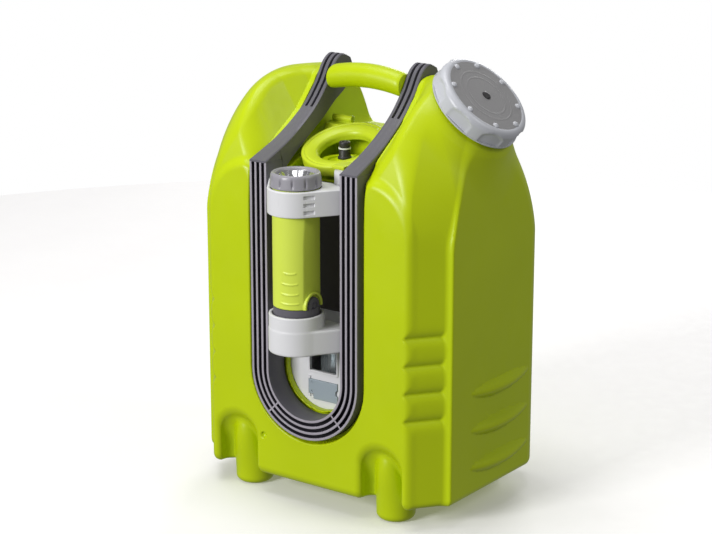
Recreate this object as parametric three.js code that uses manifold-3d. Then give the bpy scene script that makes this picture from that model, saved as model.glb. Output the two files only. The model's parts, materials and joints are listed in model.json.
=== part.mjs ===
// A portable water tank with its own pump: a hollow moulded tank stands on four feet, a pump
// module sits in a bay in its front, and a spray handset hangs in two holders over the bay.
// Millimetres, +Z up, the front faces -Y. The group is shifted at the end so that its origin
// is the middle of its own footprint.
import * as THREE from 'three';
import { ConvexGeometry } from 'three/addons/geometries/ConvexGeometry.js';
import { mergeVertices } from 'three/addons/utils/BufferGeometryUtils.js';
import Module from 'manifold-3d';

const wasm = await Module();
wasm.setup();

// ---------------------------------------------------------------- driving dimensions
const GAP = 0.3;              // clearance between pieces that touch
const ROUND = 28;             // sides of a large turned piece
const SMALL_ROUND = 14;       // sides of a small turned piece

const TANK = { halfWidth: 160.4, halfDepth: 113, top: 470, underside: 22.9, chamfer: 30, wall: 3.5 };
const FOOT = { radius: 21, x: 95.7, y: 84, top: 74, sole: 15, recess: 26, recessDepth: 9, recessTop: 88 };
const NECK = { x: 147.4, z: 447.6, tilt: 43.35, outer: 46, inner: 38, rim: -7, boss: -24 };
const CAP = { faceRadius: 46.7, radius: 53.4, skirt: 21.2, plate: 3.2, wall: 3 };

const BAY = { halfWidth: 60, ledge: 382, back: 2, radius: 47.4, mouth: 44.5, arcZ: 146.3 };
const LEDGE = { front: 357.4, rim: 390.4, rimWidth: 12 };
const BANK = { width: 34, climb: 1.6 };
const FRAME = { outer: 69.8, inner: 47.65, front: -119, back: -91, top: 374, seatDepth: 4 };
const HANDLE = { radius: 13.5, halfLength: 47.2, y: -2, endZ: 447, midZ: 452.5 };

const MODULE = { radius: 46.9, wall: 2.5, front: -82.5, frontWall: 3, back: -1.4, top: 352 };
const WINDOW = { x0: -19, x1: 17, z0: 142, z1: 166 };
const FLAP = { x0: -21, x1: 18, z0: 110, z1: 132, thick: 2.2, cut: 6, pinIn: 1.1 };
const SHELF = { battery: 186.5, pump: 258, thick: 3 };
const STRAINER = { y: -61, bowl: 16.5, wall: 2, z0: 134, z1: 168 };
const SUCTION = { z: 175, x: -71, foot: 29 };
const PUMP = { axisZ: 292, headHalf: 26, headY0: -78, headY1: -54, can: 19 };

const NIPPLE = { y: -45, floor: 370, top: 389, bossRadius: 25 };
const LID = { y: -46, z: 386, tilt: 20, outer: 46.8, hole: 28.5, thick: 9 };
const TAB = { x0: 24, x1: 40, y0: -101, y1: -76, z: 372.4, thick: 4 };
const HINGE = { y: 8, z: 393, pin: 1.6, barrel: 4.2, x0: 23, x1: 51, lug: 7 };

const HANDSET = { y: -130, radius: 25, bore: 21.5, bottom: 186, baseTop: 229.6, top: 356.2 };
const COLLAR = { z0: 356.6, z1: 372, radius: 27, rim: 25, bore: 20 };
const CLIP = { z0: 329, z1: 356, radius: 29.8, bore: 26.2, reach: 47.3, back: -96, flareY: -116 };
const CUP = { z0: 181, z1: 222, shoulder: 207, radius: 29.4, bore: 25.9, floor: 4.6, flareY: -106 };

const COLOURS = {
  lime: 0xb8cc1c, grey: 0x7d7a82, lightGrey: 0xcdcdd0, silver: 0xc3c3cd, dark: 0x232227,
  paleBlue: 0x96a0a8, steel: 0xb9bbbd, clear: 0xd7e2e4, board: 0x2f6b3c, rubber: 0x2b2b2b,
};

// ---------------------------------------------------------------- solids
function toSolid(geometry) {
  geometry.deleteAttribute('normal');
  geometry.deleteAttribute('uv');
  const merged = mergeVertices(geometry, 1e-3);
  const index = merged.index.array;
  const kept = [];
  for (let i = 0; i < index.length; i += 3) {
    const [a, b, c] = [index[i], index[i + 1], index[i + 2]];
    if (a !== b && b !== c && c !== a) kept.push(a, b, c);
  }
  const vertProperties = Float32Array.from(merged.attributes.position.array);
  const triVerts = Uint32Array.from(kept);
  return new wasm.Manifold(new wasm.Mesh({ numProp: 3, vertProperties, triVerts }));
}

function toGeometry(solid) {
  const mesh = solid.getMesh();
  const geometry = new THREE.BufferGeometry();
  geometry.setAttribute('position', new THREE.BufferAttribute(mesh.vertProperties, 3));
  geometry.setIndex(new THREE.BufferAttribute(mesh.triVerts, 1));
  return geometry;
}

function outline(points) {
  return new THREE.Shape(points.map(([a, b]) => new THREE.Vector2(a, b)));
}

function extruded(points, depth) {
  return new THREE.ExtrudeGeometry(outline(points), { depth, bevelEnabled: false, steps: 1 });
}

// points are [x, y], raised from z0 to z1
function prismZ(points, z0, z1) {
  return toSolid(extruded(points, z1 - z0).translate(0, 0, z0));
}

// points are [x, z], pushed from y0 to y1
function prismY(points, y0, y1) {
  return toSolid(extruded(points, y1 - y0).rotateX(Math.PI / 2).translate(0, y1, 0));
}

// turns an outline's plane to Y and Z, and its depth to X
const FACING_X = new THREE.Matrix4().set(0, 0, 1, 0, 1, 0, 0, 0, 0, 1, 0, 0, 0, 0, 0, 1);

// points are [y, z], pushed from x0 to x1
function prismX(points, x0, x1) {
  return toSolid(extruded(points, x1 - x0).applyMatrix4(FACING_X).translate(x0, 0, 0));
}

function block(x0, x1, y0, y1, z0, z1) {
  return prismZ(rectangle(x0, x1, y0, y1), z0, z1);
}

function rectangle(a0, a1, b0, b1) {
  return [[a0, b0], [a1, b0], [a1, b1], [a0, b1]];
}

// profile is [radius, height], outer side upwards, turned about Z
function turned(profile, sides = ROUND) {
  const points = profile.map(([r, z]) => new THREE.Vector2(r, z));
  return toSolid(new THREE.LatheGeometry(points, sides).rotateX(Math.PI / 2));
}

function rod(radius, z0, z1, sides = ROUND) {
  return turned([[0, z0], [radius, z0], [radius, z1], [0, z1]], sides);
}

function ring(inner, outer, z0, z1, sides = ROUND) {
  return turned([[inner, z0], [outer, z0], [outer, z1], [inner, z1], [inner, z0]], sides);
}

function moved(solid, x, y, z) {
  return solid.translate([x, y, z]);
}

// a solid made about Z, laid along X or Y instead
function alongX(solid) {
  return solid.rotate([0, 90, 0]);
}

function alongY(solid) {
  return solid.rotate([-90, 0, 0]);
}

function union(...solids) {
  return solids.reduce((a, b) => a.add(b));
}

// the same outline drawn in by a distance, or out where the distance is negative
function inset(points, distance) {
  return points.map((point, i) => {
    const before = points[(i + points.length - 1) % points.length];
    const after = points[(i + 1) % points.length];
    const [n0, n1] = [inwardNormal(before, point), inwardNormal(point, after)];
    const bisector = [n0[0] + n1[0], n0[1] + n1[1]];
    const scale = distance / (1 + n0[0] * n1[0] + n0[1] * n1[1]);
    return [point[0] + bisector[0] * scale, point[1] + bisector[1] * scale];
  });
}

// for an outline that runs anticlockwise
function inwardNormal(from, to) {
  const [dx, dy] = [to[0] - from[0], to[1] - from[1]];
  const length = Math.hypot(dx, dy);
  return [-dy / length, dx / length];
}

function arc(cx, cy, radius, startDeg, endDeg, steps) {
  return Array.from({ length: steps + 1 }, (_, i) => {
    const angle = THREE.MathUtils.degToRad(startDeg + ((endDeg - startDeg) * i) / steps);
    return [cx + radius * Math.cos(angle), cy + radius * Math.sin(angle)];
  });
}

function mirrored(points) {
  return points.map(([a, b]) => [-a, b]);
}

// a round bar along a smooth path
function bar(path, radius, sides, steps) {
  const section = new THREE.Shape();
  section.absarc(0, 0, radius, 0, Math.PI * 2);
  const curve = new THREE.CatmullRomCurve3(path.map((p) => new THREE.Vector3(...p)));
  const options = { steps, extrudePath: curve, bevelEnabled: false, curveSegments: sides };
  return toSolid(new THREE.ExtrudeGeometry(section, options));
}

const SIDES = [['right', 1], ['left', -1]];

// ---------------------------------------------------------------- scene graph
const model = new THREE.Group();

function material(colour, roughness, metalness = 0) {
  return new THREE.MeshStandardMaterial({ color: colour, roughness, metalness });
}

const PLASTIC = { lime: 0.45, grey: 0.5, lightGrey: 0.42, silver: 0.35, dark: 0.55, paleBlue: 0.45 };

function plastic(name) {
  return material(COLOURS[name], PLASTIC[name]);
}

function add(name, solid, finish, parent = model) {
  const mesh = new THREE.Mesh(toGeometry(solid), finish);
  mesh.name = name;
  parent.add(mesh);
  return mesh;
}

// ---------------------------------------------------------------- tank outlines
// level sections of the body: [height, half width, front, back, corner cut, corner bulge]
const SECTIONS = [
  [TANK.underside, 150, 103, 103, 27, 0],
  [TANK.underside + 10, TANK.halfWidth, TANK.halfDepth, TANK.halfDepth, TANK.chamfer, 0],
  [300, TANK.halfWidth, TANK.halfDepth, TANK.halfDepth, TANK.chamfer, 0],
  [330, 160, 113, 108, 31, 1],
  [355, 158.5, 111, 99, 36, 3],
  [376, 156, 107, 89, 44, 5],
  [398, 151.5, 101, 79, 52, 8],
  [419, 144, 92, 71, 60, 11],
  [435, 136, 81, 64, 66, 13],
  [448, 126, 67, 57, 62, 13],
  [459, 112, 48, 47, 52, 11],
  [466, 96, 28, 36, 36, 8],
  [TANK.top, 76, 8, 26, 12, 2],
];

// one section drawn in by a distance, as points around the body
function sectionPoints([z, halfWidth, front, back, cut, bulge], distance, height) {
  const [w, f, b] = [halfWidth - distance, front - distance, back - distance];
  const third = cut / 3;
  const corner = (sideY) => [
    [w - cut, sideY], [w - 2 * third + bulge * 0.7, sideY - Math.sign(sideY) * (third - bulge * 0.7)],
    [w - third + bulge * 0.7, sideY - Math.sign(sideY) * (2 * third - bulge * 0.7)],
    [w, sideY - Math.sign(sideY) * cut],
  ];
  const right = [...corner(-f), ...corner(b)];
  return [...right, ...mirrored(right)].map(([x, y]) => new THREE.Vector3(x, y, height(z)));
}

// the whole body before anything is cut from it, drawn in by a distance
function bodyHull(distance) {
  const { underside, top } = TANK;
  const height = (z) => THREE.MathUtils.mapLinear(z, underside, top, underside + distance, top - distance);
  const points = SECTIONS.flatMap((section) => sectionPoints(section, distance, height));
  return toSolid(new ConvexGeometry(points));
}

// a slot with a round lower end, open at the top
function bayOutline(radius, topZ) {
  return [...arc(0, BAY.arcZ, radius, 180, 360, 20), [radius, topZ], [-radius, topZ]];
}

// the top of an arm, from the handle forward
function armTopLine() {
  return [[30, 464], [18, 469], [8, 466], [0, 458], [-12, 440], [-36, 416], [-75, 392]];
}

// the arm of the frame seen from the right, anticlockwise
function armOutline() {
  const { front, back, top } = FRAME;
  const under = [[-50, 386], [-20, 404], [2, 420], [18, 429], [32, 441], [36, 452]];
  return [[front, top - 20], [back, top - 20], [back, 358], ...under, ...armTopLine(), [front, top]];
}

function bothSides(x0, x1, make) {
  return union(make(x0, x1), make(-x1, -x0));
}

// ---------------------------------------------------------------- tank
// space above the ledge between the lobes: it falls forward under the lid
function notch(margin) {
  const { halfWidth, ledge, back } = BAY;
  const { front, rim, rimWidth } = LEDGE;
  const floor = [
    [-200, front], [FRAME.back, front], [back, rim], [back + rimWidth, rim], [back + rimWidth + 4, ledge],
    [200, ledge], [200, 600], [-200, 600],
  ];
  const w = halfWidth + margin;
  return prismX(inset(floor, -margin), -w, w);
}

function bayCut(margin) {
  const wellFront = MODULE.front - GAP - margin;
  const well = prismY(bayOutline(BAY.radius + margin, 600), wellFront, BAY.back + margin);
  const mouth = prismY(bayOutline(BAY.mouth + margin, 600), -200, wellFront + margin + 3);
  const seatBack = FRAME.back + FRAME.seatDepth;
  const seat = prismY(bayOutline(FRAME.outer + GAP + margin, 600), -200, seatBack + margin);
  const lip = prismY(bayOutline(FRAME.inner - GAP, CLIP.z1), FRAME.back + 0.5, seatBack + 1);
  const openSeat = margin > 0 ? seat : seat.subtract(lip);
  return union(well, mouth, openSeat);
}

// the seats of the frame's arms, and the valley over them between the lobes
function armSeat(margin) {
  const { inner, outer, front, top } = FRAME;
  const x1 = outer + GAP + margin;
  const shape = inset(armOutline(), -GAP - margin);
  const seats = bothSides(inner - GAP - margin, x1, (a, b) => prismX(shape, a, b));
  const line = [...armTopLine(), [front, top], [-200, top]];
  const valley = inset([...line, [-200, 700], [30, 700]], -margin);
  const floor = prismX(valley, -x1, x1);
  const banks = SIDES.map(([, sign]) => bank(valley, x1, sign));
  return union(seats, floor, ...banks);
}

// the valley's side, which climbs outwards from the arm to the crown of the lobe
function bank(valley, x1, sign) {
  const shear = new THREE.Matrix4().makeShear(0, BANK.climb, 0, 0, 0, 0);
  const side = toSolid(extruded(valley, BANK.width).applyMatrix4(FACING_X).applyMatrix4(shear));
  const placed = side.translate([x1 - 0.05, 0, 0]);
  return sign > 0 ? placed : placed.mirror([1, 0, 0]);
}

function placedOnNeck(solid) {
  return solid.rotate([0, NECK.tilt, 0]).translate([NECK.x, 0, NECK.z]);
}

function feet() {
  const { radius, x, y, top, sole } = FOOT;
  const profile = [
    [0, 0], [sole, 0], [sole + 3, 2], [radius - 0.8, 9], [radius, 16], [radius, top - 21],
    [radius * 0.87, top - 10.5], [radius * 0.5, top - 2.8], [0, top],
  ];
  const one = turned(profile, 20);
  const corners = [[x, -y], [-x, -y], [x, y], [-x, y]];
  return union(...corners.map(([a, b]) => moved(one, a, b, 0)));
}

// the swelling under the neck, a cone with a step
function neckBoss() {
  return placedOnNeck(turned([[0, -80], [74, -80], [56, -32], [50, NECK.boss], [0, NECK.boss]], 36));
}

// each foot stands in an arched recess of the front or rear panel
function footRecesses(margin) {
  const { x, recess, recessDepth, recessTop } = FOOT;
  const w = recess + margin;
  const centre = recessTop - recess;
  const arch = [[-w, -50], [w, -50], ...arc(0, centre, w, 0, 180, 10)];
  const inside = TANK.halfDepth - recessDepth - margin;
  const one = prismY(arch, inside, 200).add(prismY(arch, -200, -inside));
  return moved(one, x, 0, 0).add(moved(one, -x, 0, 0));
}

function suctionHole(radius) {
  return moved(alongX(rod(radius, -60, -40, SMALL_ROUND)), 0, STRAINER.y, SUCTION.z);
}

function hingeLugs() {
  const { y, z, barrel, x0, x1, lug } = HINGE;
  const root = BAY.ledge - 2;
  const shape = [
    [y - 5, root], [y + 8, root], [y + 5, z + 1], [y + 2, z + barrel], [y - 2, z + barrel], [y - 5, z],
  ];
  const outerLugs = bothSides(x1 + GAP, x1 + lug, (a, b) => prismX(shape, a, b));
  const innerLugs = bothSides(x0 - lug, x0 - GAP, (a, b) => prismX(shape, a, b));
  return outerLugs.add(innerLugs);
}

function pinHole(radius) {
  return moved(alongX(rod(radius, -59, 59, SMALL_ROUND)), 0, HINGE.y, HINGE.z);
}

// the space under the neck, left a little thicker than the wall where the cap pulls on it
function hollowNeck() {
  return placedOnNeck(turned([[0, -80], [69, -80], [51, -34], [0, -34]], 36));
}

function tankShell() {
  const { wall } = TANK;
  const neck = placedOnNeck(rod(NECK.outer, -50, NECK.rim));
  const outer = union(bodyHull(0).subtract(footRecesses(0)), neckBoss(), neck, feet());
  const hingeRelief = bothSides(HINGE.x0 - GAP, HINGE.x1 + GAP, (a, b) =>
    prismX(rectangle(HINGE.y - 13, HINGE.y + 6, 386.5, 400), a, b));
  const shaped = outer.subtract(notch(0)).subtract(bayCut(0)).subtract(armSeat(0))
    .subtract(hingeRelief).add(hingeLugs()).subtract(pinHole(HINGE.pin + 0.25));
  const hollow = bodyHull(wall).add(hollowNeck()).subtract(footRecesses(wall))
    .subtract(notch(wall)).subtract(bayCut(wall)).subtract(armSeat(wall));
  const throat = placedOnNeck(rod(NECK.inner, -60, 5));
  return shaped.subtract(hollow).subtract(throat).subtract(suctionHole(5.4));
}

add('tank_shell', tankShell(), plastic('lime'));

// ---------------------------------------------------------------- frame and carrying handle
const BOLT = { radius: 3, head: 5.5, z: HANDLE.endZ, y: HANDLE.y };

function boltHole(radius) {
  return moved(alongX(rod(radius, -72, 72, SMALL_ROUND)), 0, BOLT.y, BOLT.z);
}

const HOLDER_SCREW = { y: -104, heights: [CLIP.z0 + 13, CUP.z0 + 13], radius: 2, clearance: 2.3 };

// rods through both arms of the frame where the holders are screwed on
function atHolderScrews(radius, x0, x1) {
  return bothSides(x0, x1, (a, b) => union(...HOLDER_SCREW.heights.map((z) =>
    moved(alongX(rod(radius, a, b, SMALL_ROUND)), 0, HOLDER_SCREW.y, z))));
}

function bayFrame() {
  const { outer, inner, front, back, top } = FRAME;
  const band = prismY(bayOutline(outer, top), front, back)
    .subtract(prismY(bayOutline(inner, top + 10), front - 5, back + 5));
  const arms = bothSides(inner, outer, (a, b) => prismX(armOutline(), a, b));
  const heads = bothSides(64, 75, (a, b) => moved(alongX(rod(6, a, b, SMALL_ROUND)), 0, BOLT.y, BOLT.z));
  return band.add(arms).subtract(boltHole(3.3)).subtract(heads)
    .subtract(atHolderScrews(HOLDER_SCREW.clearance, 34, 75)).subtract(atHolderScrews(4.4, 66.5, 75));
}

function carryHandle() {
  const { radius, halfLength, y, endZ, midZ } = HANDLE;
  const half = [
    [0, midZ], [20, midZ - 0.6], [36, midZ - 2.4], [halfLength, endZ], [halfLength + 8, endZ - 3],
  ];
  const left = half.slice(1).reverse().map(([x, z]) => [-x, y, z]);
  const path = [...left, ...half.map(([x, z]) => [x, y, z])];
  const span = block(-halfLength, halfLength, -50, 50, 400, 500);
  const blindHoles = boltHole(3.3).subtract(block(-30, 30, -50, 50, 400, 500));
  return bar(path, radius, 20, 16).intersect(span).subtract(blindHoles);
}

function handleBolt() {
  return rod(BOLT.head, 64.2, 68.5, SMALL_ROUND).add(rod(BOLT.radius, 31, 64.3, SMALL_ROUND));
}

function holderScrew() {
  return rod(4, 66.8, 69.3, SMALL_ROUND).add(rod(HOLDER_SCREW.radius, 36, 66.9, SMALL_ROUND));
}

add('bay_frame', bayFrame(), plastic('grey'));
add('carry_handle', carryHandle(), plastic('lime'));
for (const [side, sign] of SIDES) {
  const bolt = moved(alongX(handleBolt()).scale([sign, 1, 1]), 0, BOLT.y, BOLT.z);
  add(`handle_bolt_${side}`, bolt, material(COLOURS.steel, 0.35, 1));
}

// ---------------------------------------------------------------- filler cap
const neckGroup = new THREE.Group();
neckGroup.position.set(NECK.x, 0, NECK.z);
neckGroup.rotation.set(0, THREE.MathUtils.degToRad(NECK.tilt), 0);
model.add(neckGroup);

function fillerCap() {
  const { faceRadius, radius, skirt, plate, wall } = CAP;
  const body = turned([
    [0, -plate], [38.6, -plate], [38.6, -5.6], [40, -5.6], [40, -plate],
    [radius - wall, -plate - 1.5], [radius - wall, -skirt], [radius, -skirt], [radius, -6],
    [radius - 2.5, -2], [faceRadius, 0], [0, 0],
  ], 40);
  return body.subtract(rod(5.3, -8, 2, SMALL_ROUND));
}

function capVent() {
  return turned([[0, -6], [3.4, -6], [3.4, -3.6], [5, -3.4], [5, 0.3], [3.4, 0.8], [0, 0.8]], SMALL_ROUND);
}

add('filler_cap', fillerCap(), plastic('silver'), neckGroup);
add('cap_gasket', ring(40.3, 47, -6.6, -4.9), material(COLOURS.rubber, 0.8), neckGroup);
add('cap_vent_valve', capVent(), plastic('dark'), neckGroup);

// ---------------------------------------------------------------- pump module
function moduleBody() {
  const { radius, wall, front, frontWall, top } = MODULE;
  const back = MODULE.back - 2.6 - GAP;
  const outer = prismY(bayOutline(radius, top), front, back);
  const inner = prismY(bayOutline(radius - wall, top + 20), front + frontWall, back + 10);
  const shelf = (z) => block(-radius + 1, radius - 1, front + 1, back - 0.5, z, z + SHELF.thick);
  const { x0, x1, z0, z1 } = WINDOW;
  const windowCut = prismY(rectangle(x0, x1, z0, z1), front - 5, front + frontWall + 1);
  const flapSide = rectangle(FLAP.x0 - 0.5, FLAP.x0 + 3, FLAP.z0 + FLAP.cut - 0.4, FLAP.z1 + 0.4);
  const flapCut = prismY(inset(flapOutline(), -0.4), front - 5, front + 1.2)
    .add(prismY(flapSide, front - 5, front + 1.2));
  const pumpPort = moved(rod(5.6, 170, 262, SMALL_ROUND), 0, STRAINER.y, 0);
  return outer.subtract(inner).add(shelf(SHELF.battery)).add(shelf(SHELF.pump))
    .subtract(windowCut).subtract(flapCut).subtract(pumpPort).subtract(suctionHole(5.4))
    .subtract(socketHole(6.3)).subtract(rockerHole(0.35))
    .add(flapEars()).subtract(atFlapPin(0.75, FLAP.z0 + 2.4, FLAP.z1 + 3.3));
}

// the flap's lower left corner is cut to clear the round end of the bay and the pin's ear
function flapOutline() {
  const { x0, x1, z0, z1, cut, pinIn } = FLAP;
  const left = x0 + pinIn;
  return [[x0 + cut + 2, z0], [x1, z0], [x1, z1], [left, z1], [left, z0 + cut], [x0 + 4, z0 + cut]];
}

// the pin is held above and below the flap by two small ears on the panel
function flapEars() {
  const { x0, z0, z1, cut } = FLAP;
  const ear = (a, b) => block(x0 - 0.4, x0 + 3, MODULE.front - 1.6, MODULE.front + 1, a, b);
  return ear(z1 + 0.5, z1 + 3.4).add(ear(z0 + 2.4, z0 + cut - 0.4));
}

const SOCKET = { x: -9.5, z: 121, radius: 6 };
const ROCKER = { x: 6.5, z: 121, halfWidth: 6, halfHeight: 7.5 };

function socketHole(radius) {
  return moved(alongY(rod(radius, -90, -70, SMALL_ROUND)), SOCKET.x, 0, SOCKET.z);
}

function rockerHole(margin) {
  const { x, z, halfWidth, halfHeight } = ROCKER;
  const [w, h] = [halfWidth + margin, halfHeight + margin];
  return block(x - w, x + w, -90, -70, z - h, z + h);
}

function atFlapPin(radius, z0, z1) {
  return moved(rod(radius, z0, z1, 10), FLAP.x0 + FLAP.pinIn, MODULE.front - 0.3, 0);
}

function socketFlap() {
  const { thick, x1, z0, z1, cut } = FLAP;
  const back = MODULE.front + 0.8;
  const plate = prismY(flapOutline(), back - thick, back);
  const pull = moved(alongY(rod(4, back - 6, back + 2, SMALL_ROUND)), x1 + 1.4, 0, (z0 + z1) / 2);
  const knuckle = atFlapPin(thick / 2, z0 + cut, z1);
  return plate.subtract(pull).add(knuckle).subtract(atFlapPin(0.75, z0 - 9, z1 + 9));
}

function socketBody() {
  const body = ring(3.4, SOCKET.radius, -81, -66, SMALL_ROUND).add(rod(1, -80, -66, 10))
    .add(rod(5, -66.1, -63.5, SMALL_ROUND));
  return moved(alongY(body), SOCKET.x, 0, SOCKET.z);
}

function rockerCase() {
  const { x, z, halfWidth: w, halfHeight: h } = ROCKER;
  return block(x - w, x + w, -81, -65, z - h, z + h)
    .subtract(block(x - w + 1.2, x + w - 1.2, -95, -68, z - h + 1.2, z + h - 1.2));
}

function powerRocker() {
  const { x, z, halfWidth: w, halfHeight: h } = ROCKER;
  const tall = h - 3.5;
  const shape = [
    [-78, z - tall], [-70.6, z - tall + 1], [-70.6, z + tall - 1], [-79.6, z + tall], [-78.4, z],
  ];
  return prismX(shape, x - w + 1.6, x + w - 1.6);
}

const COVER = { y0: MODULE.back - 2.6, screwX: 38, screwZ: 340 };

function rearCover() {
  return prismY(bayOutline(MODULE.radius, MODULE.top), COVER.y0, MODULE.back);
}

function topCover() {
  const { radius, top, front, back } = MODULE;
  const boss = moved(rod(NIPPLE.bossRadius, top + 3, NIPPLE.floor), 0, NIPPLE.y, 0);
  const plate = block(-radius, radius, front, back, top + GAP, top + 3.2).add(boss);
  const screwHoles = topScrewPlaces().map(([x, y]) => moved(rod(1.9, top - 9, top + 9, 10), x, y, 0));
  const nippleHole = moved(rod(5.4, top - 9, top + 30, SMALL_ROUND), 0, NIPPLE.y, 0);
  return plate.subtract(union(...screwHoles)).subtract(nippleHole);
}

function topScrewPlaces() {
  return [[40, -76], [-40, -76], [40, -11], [-40, -11]];
}

function screwBosses() {
  const z0 = MODULE.top - 16;
  const posts = topScrewPlaces().map(([x, y]) => {
    const edgeX = Math.sign(x) * (MODULE.radius - 1);
    const [a, b] = [Math.min(x - 4, edgeX), Math.max(x + 4, edgeX)];
    return block(a, b, y - 4, y + 4, z0, MODULE.top);
  });
  const holes = topScrewPlaces().map(([x, y]) => moved(rod(1.4, z0 - 1, 400, 10), x, y, 0));
  return [union(...posts), union(...holes)];
}

function coverScrew() {
  const { top } = MODULE;
  return rod(3.4, top + 3.5, top + 5.3, SMALL_ROUND).add(rod(1.15, top - 12, top + 3.6, 10));
}

const [posts, postHoles] = screwBosses();
add('module_housing', moduleBody().add(posts).subtract(postHoles), plastic('lightGrey'));
add('module_rear_cover', rearCover(), plastic('lightGrey'));
add('module_top_cover', topCover(), plastic('lime'));
for (const [i, [x, y]] of topScrewPlaces().entries()) {
  add(`top_cover_screw_${i + 1}`, moved(coverScrew(), x, y, 0), material(COLOURS.steel, 0.35, 1));
}
add('dc_socket', socketBody(), plastic('dark'));
add('switch_case', rockerCase(), plastic('dark'));
add('power_rocker', powerRocker(), material(0xa02020, 0.4));
add('socket_flap', socketFlap(), plastic('paleBlue'));
add('flap_pin', atFlapPin(0.6, FLAP.z0 + 2.6, FLAP.z1 + 3.2), material(COLOURS.steel, 0.35, 1));

// ---------------------------------------------------------------- inside the module
function batteryPack() {
  const z0 = SHELF.battery + SHELF.thick + GAP;
  return block(-36, 36, -46, -8, z0, z0 + 62).add(block(-10, 10, -44, -36, z0 + 61.9, z0 + 65.5));
}

function circuitBoard() {
  const front = MODULE.front + MODULE.frontWall + GAP;
  const board = block(-32, 32, front, front + 1.6, 196, 250);
  const relay = block(-20, -4, front + 1.5, front + 8, 204, 222);
  const chip = block(6, 24, front + 1.5, front + 4.5, 226, 240);
  return union(board, relay, chip);
}

function strainerHead() {
  const { bowl, z1 } = STRAINER;
  const top = SHELF.battery - GAP;
  const body = rod(bowl + 1.5, z1 + GAP, top, ROUND).subtract(rod(4.5, z1 + 8, top + 1, SMALL_ROUND))
    .subtract(rod(9, z1 - 1, z1 + 6, SMALL_ROUND));
  const port = alongX(ring(4, 6.4, -22, -14, SMALL_ROUND));
  const bore = alongX(rod(4, -23, -6, SMALL_ROUND));
  const level = [0, 0, SUCTION.z];
  const ported = body.add(port.translate(level)).subtract(bore.translate(level));
  return moved(ported, 0, STRAINER.y, 0);
}

function strainerBowl() {
  const { bowl, wall, z0, z1, y } = STRAINER;
  const profile = [
    [0, z0], [bowl - 4, z0], [bowl, z0 + 5], [bowl, z1], [bowl - wall, z1],
    [bowl - wall, z0 + 6], [bowl - 5, z0 + wall], [0, z0 + wall],
  ];
  return moved(turned(profile), 0, y, 0);
}

function strainerMesh() {
  const { z0, z1, y } = STRAINER;
  return moved(ring(7.4, 8.6, z0 + 4, z1 + 5.7, SMALL_ROUND), 0, y, 0);
}

function suctionTube() {
  const { x, z, foot } = SUCTION;
  const path = [
    [-22.4, z], [-36, z], [-52, z], [x + 9, z - 3], [x + 2, z - 13], [x, z - 27], [x, 90], [x, foot + 15],
  ];
  return bar(path.map(([a, b]) => [a, STRAINER.y, b]), 5, 12, 22);
}

function suctionFoot() {
  const { x, foot } = SUCTION;
  return moved(ring(2.5, 9, foot, foot + 14.6, SMALL_ROUND), x, STRAINER.y, 0);
}

function pumpHead() {
  const { axisZ, headHalf: h, headY0, headY1 } = PUMP;
  const z0 = SHELF.pump + SHELF.thick + GAP;
  const body = block(-h, h, headY0, headY1, z0, axisZ + h);
  const chamber = moved(alongY(rod(15, headY1 - 6, headY1 + 1, ROUND)), 0, 0, axisZ);
  const inlet = moved(rod(3, z0 - 1, axisZ - 8, SMALL_ROUND), 0, STRAINER.y, 0);
  const outlet = moved(rod(3, axisZ + 8, axisZ + h + 1, SMALL_ROUND), 0, STRAINER.y - 5, 0);
  return body.subtract(chamber).subtract(inlet).subtract(outlet);
}

function diaphragm() {
  return moved(alongY(rod(21, PUMP.headY1 + GAP, PUMP.headY1 + 2.6)), 0, 0, PUMP.axisZ);
}

function pumpCrankcase() {
  const y0 = PUMP.headY1 + 2.6 + GAP;
  const y1 = -38;
  const z0 = SHELF.pump + SHELF.thick + GAP;
  const saddle = block(-12, 12, y0, y1, z0, PUMP.axisZ - 16);
  const shell = moved(alongY(rod(22, y0, y1)), 0, 0, PUMP.axisZ).add(saddle);
  return shell.subtract(moved(alongY(rod(15, y0 - 1, y1 + 1)), 0, 0, PUMP.axisZ));
}

function motorShaft() {
  const shaft = rod(2.5, -47.5, -34, SMALL_ROUND);
  const cam = moved(rod(7, -47.4, -41, SMALL_ROUND), 2, 0, 0);
  return moved(alongY(shaft.add(cam)), 0, 0, PUMP.axisZ);
}

function motorCan() {
  const can = rod(PUMP.can, -37.7, -6).subtract(rod(2.8, -40, -33, SMALL_ROUND));
  return moved(alongY(can), 0, 0, PUMP.axisZ);
}

function outletTube() {
  const start = STRAINER.y - 5;
  const { y: end, floor } = NIPPLE;
  const path = [[start, 318.5], [start, 324], [(start + end) / 2, 331.5], [end, 338], [end, floor - 26.4]];
  return bar(path.map(([y, z]) => [0, y, z]), 4.5, 12, 12);
}

function outletNipple() {
  const { floor, top, y } = NIPPLE;
  const flange = floor + GAP;
  const profile = [
    [2.6, floor - 26], [5.1, floor - 26], [5.1, flange], [7.4, flange], [7.4, flange + 2.4],
    [6.4, flange + 2.8], [6.4, top - 8.8], [5, top - 8.6], [5, top - 6.4], [6.2, top - 6.2],
    [6.2, top - 1], [5, top], [2.6, top], [2.6, floor - 26],
  ];
  return moved(turned(profile, 20), 0, y, 0);
}

// straight tube from the strainer up into the pump's head
function inletTube() {
  return moved(rod(5, SHELF.battery + GAP, SHELF.pump + SHELF.thick, SMALL_ROUND), 0, STRAINER.y, 0);
}

function pressureSwitch() {
  return moved(alongX(rod(9, PUMP.headHalf + GAP, 40, SMALL_ROUND)), 0, -66, PUMP.axisZ);
}

function nippleRing() {
  const { top, y } = NIPPLE;
  return moved(ring(5.2, 6.7, top - 8.3, top - 6.7, 20), 0, y, 0);
}

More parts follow.
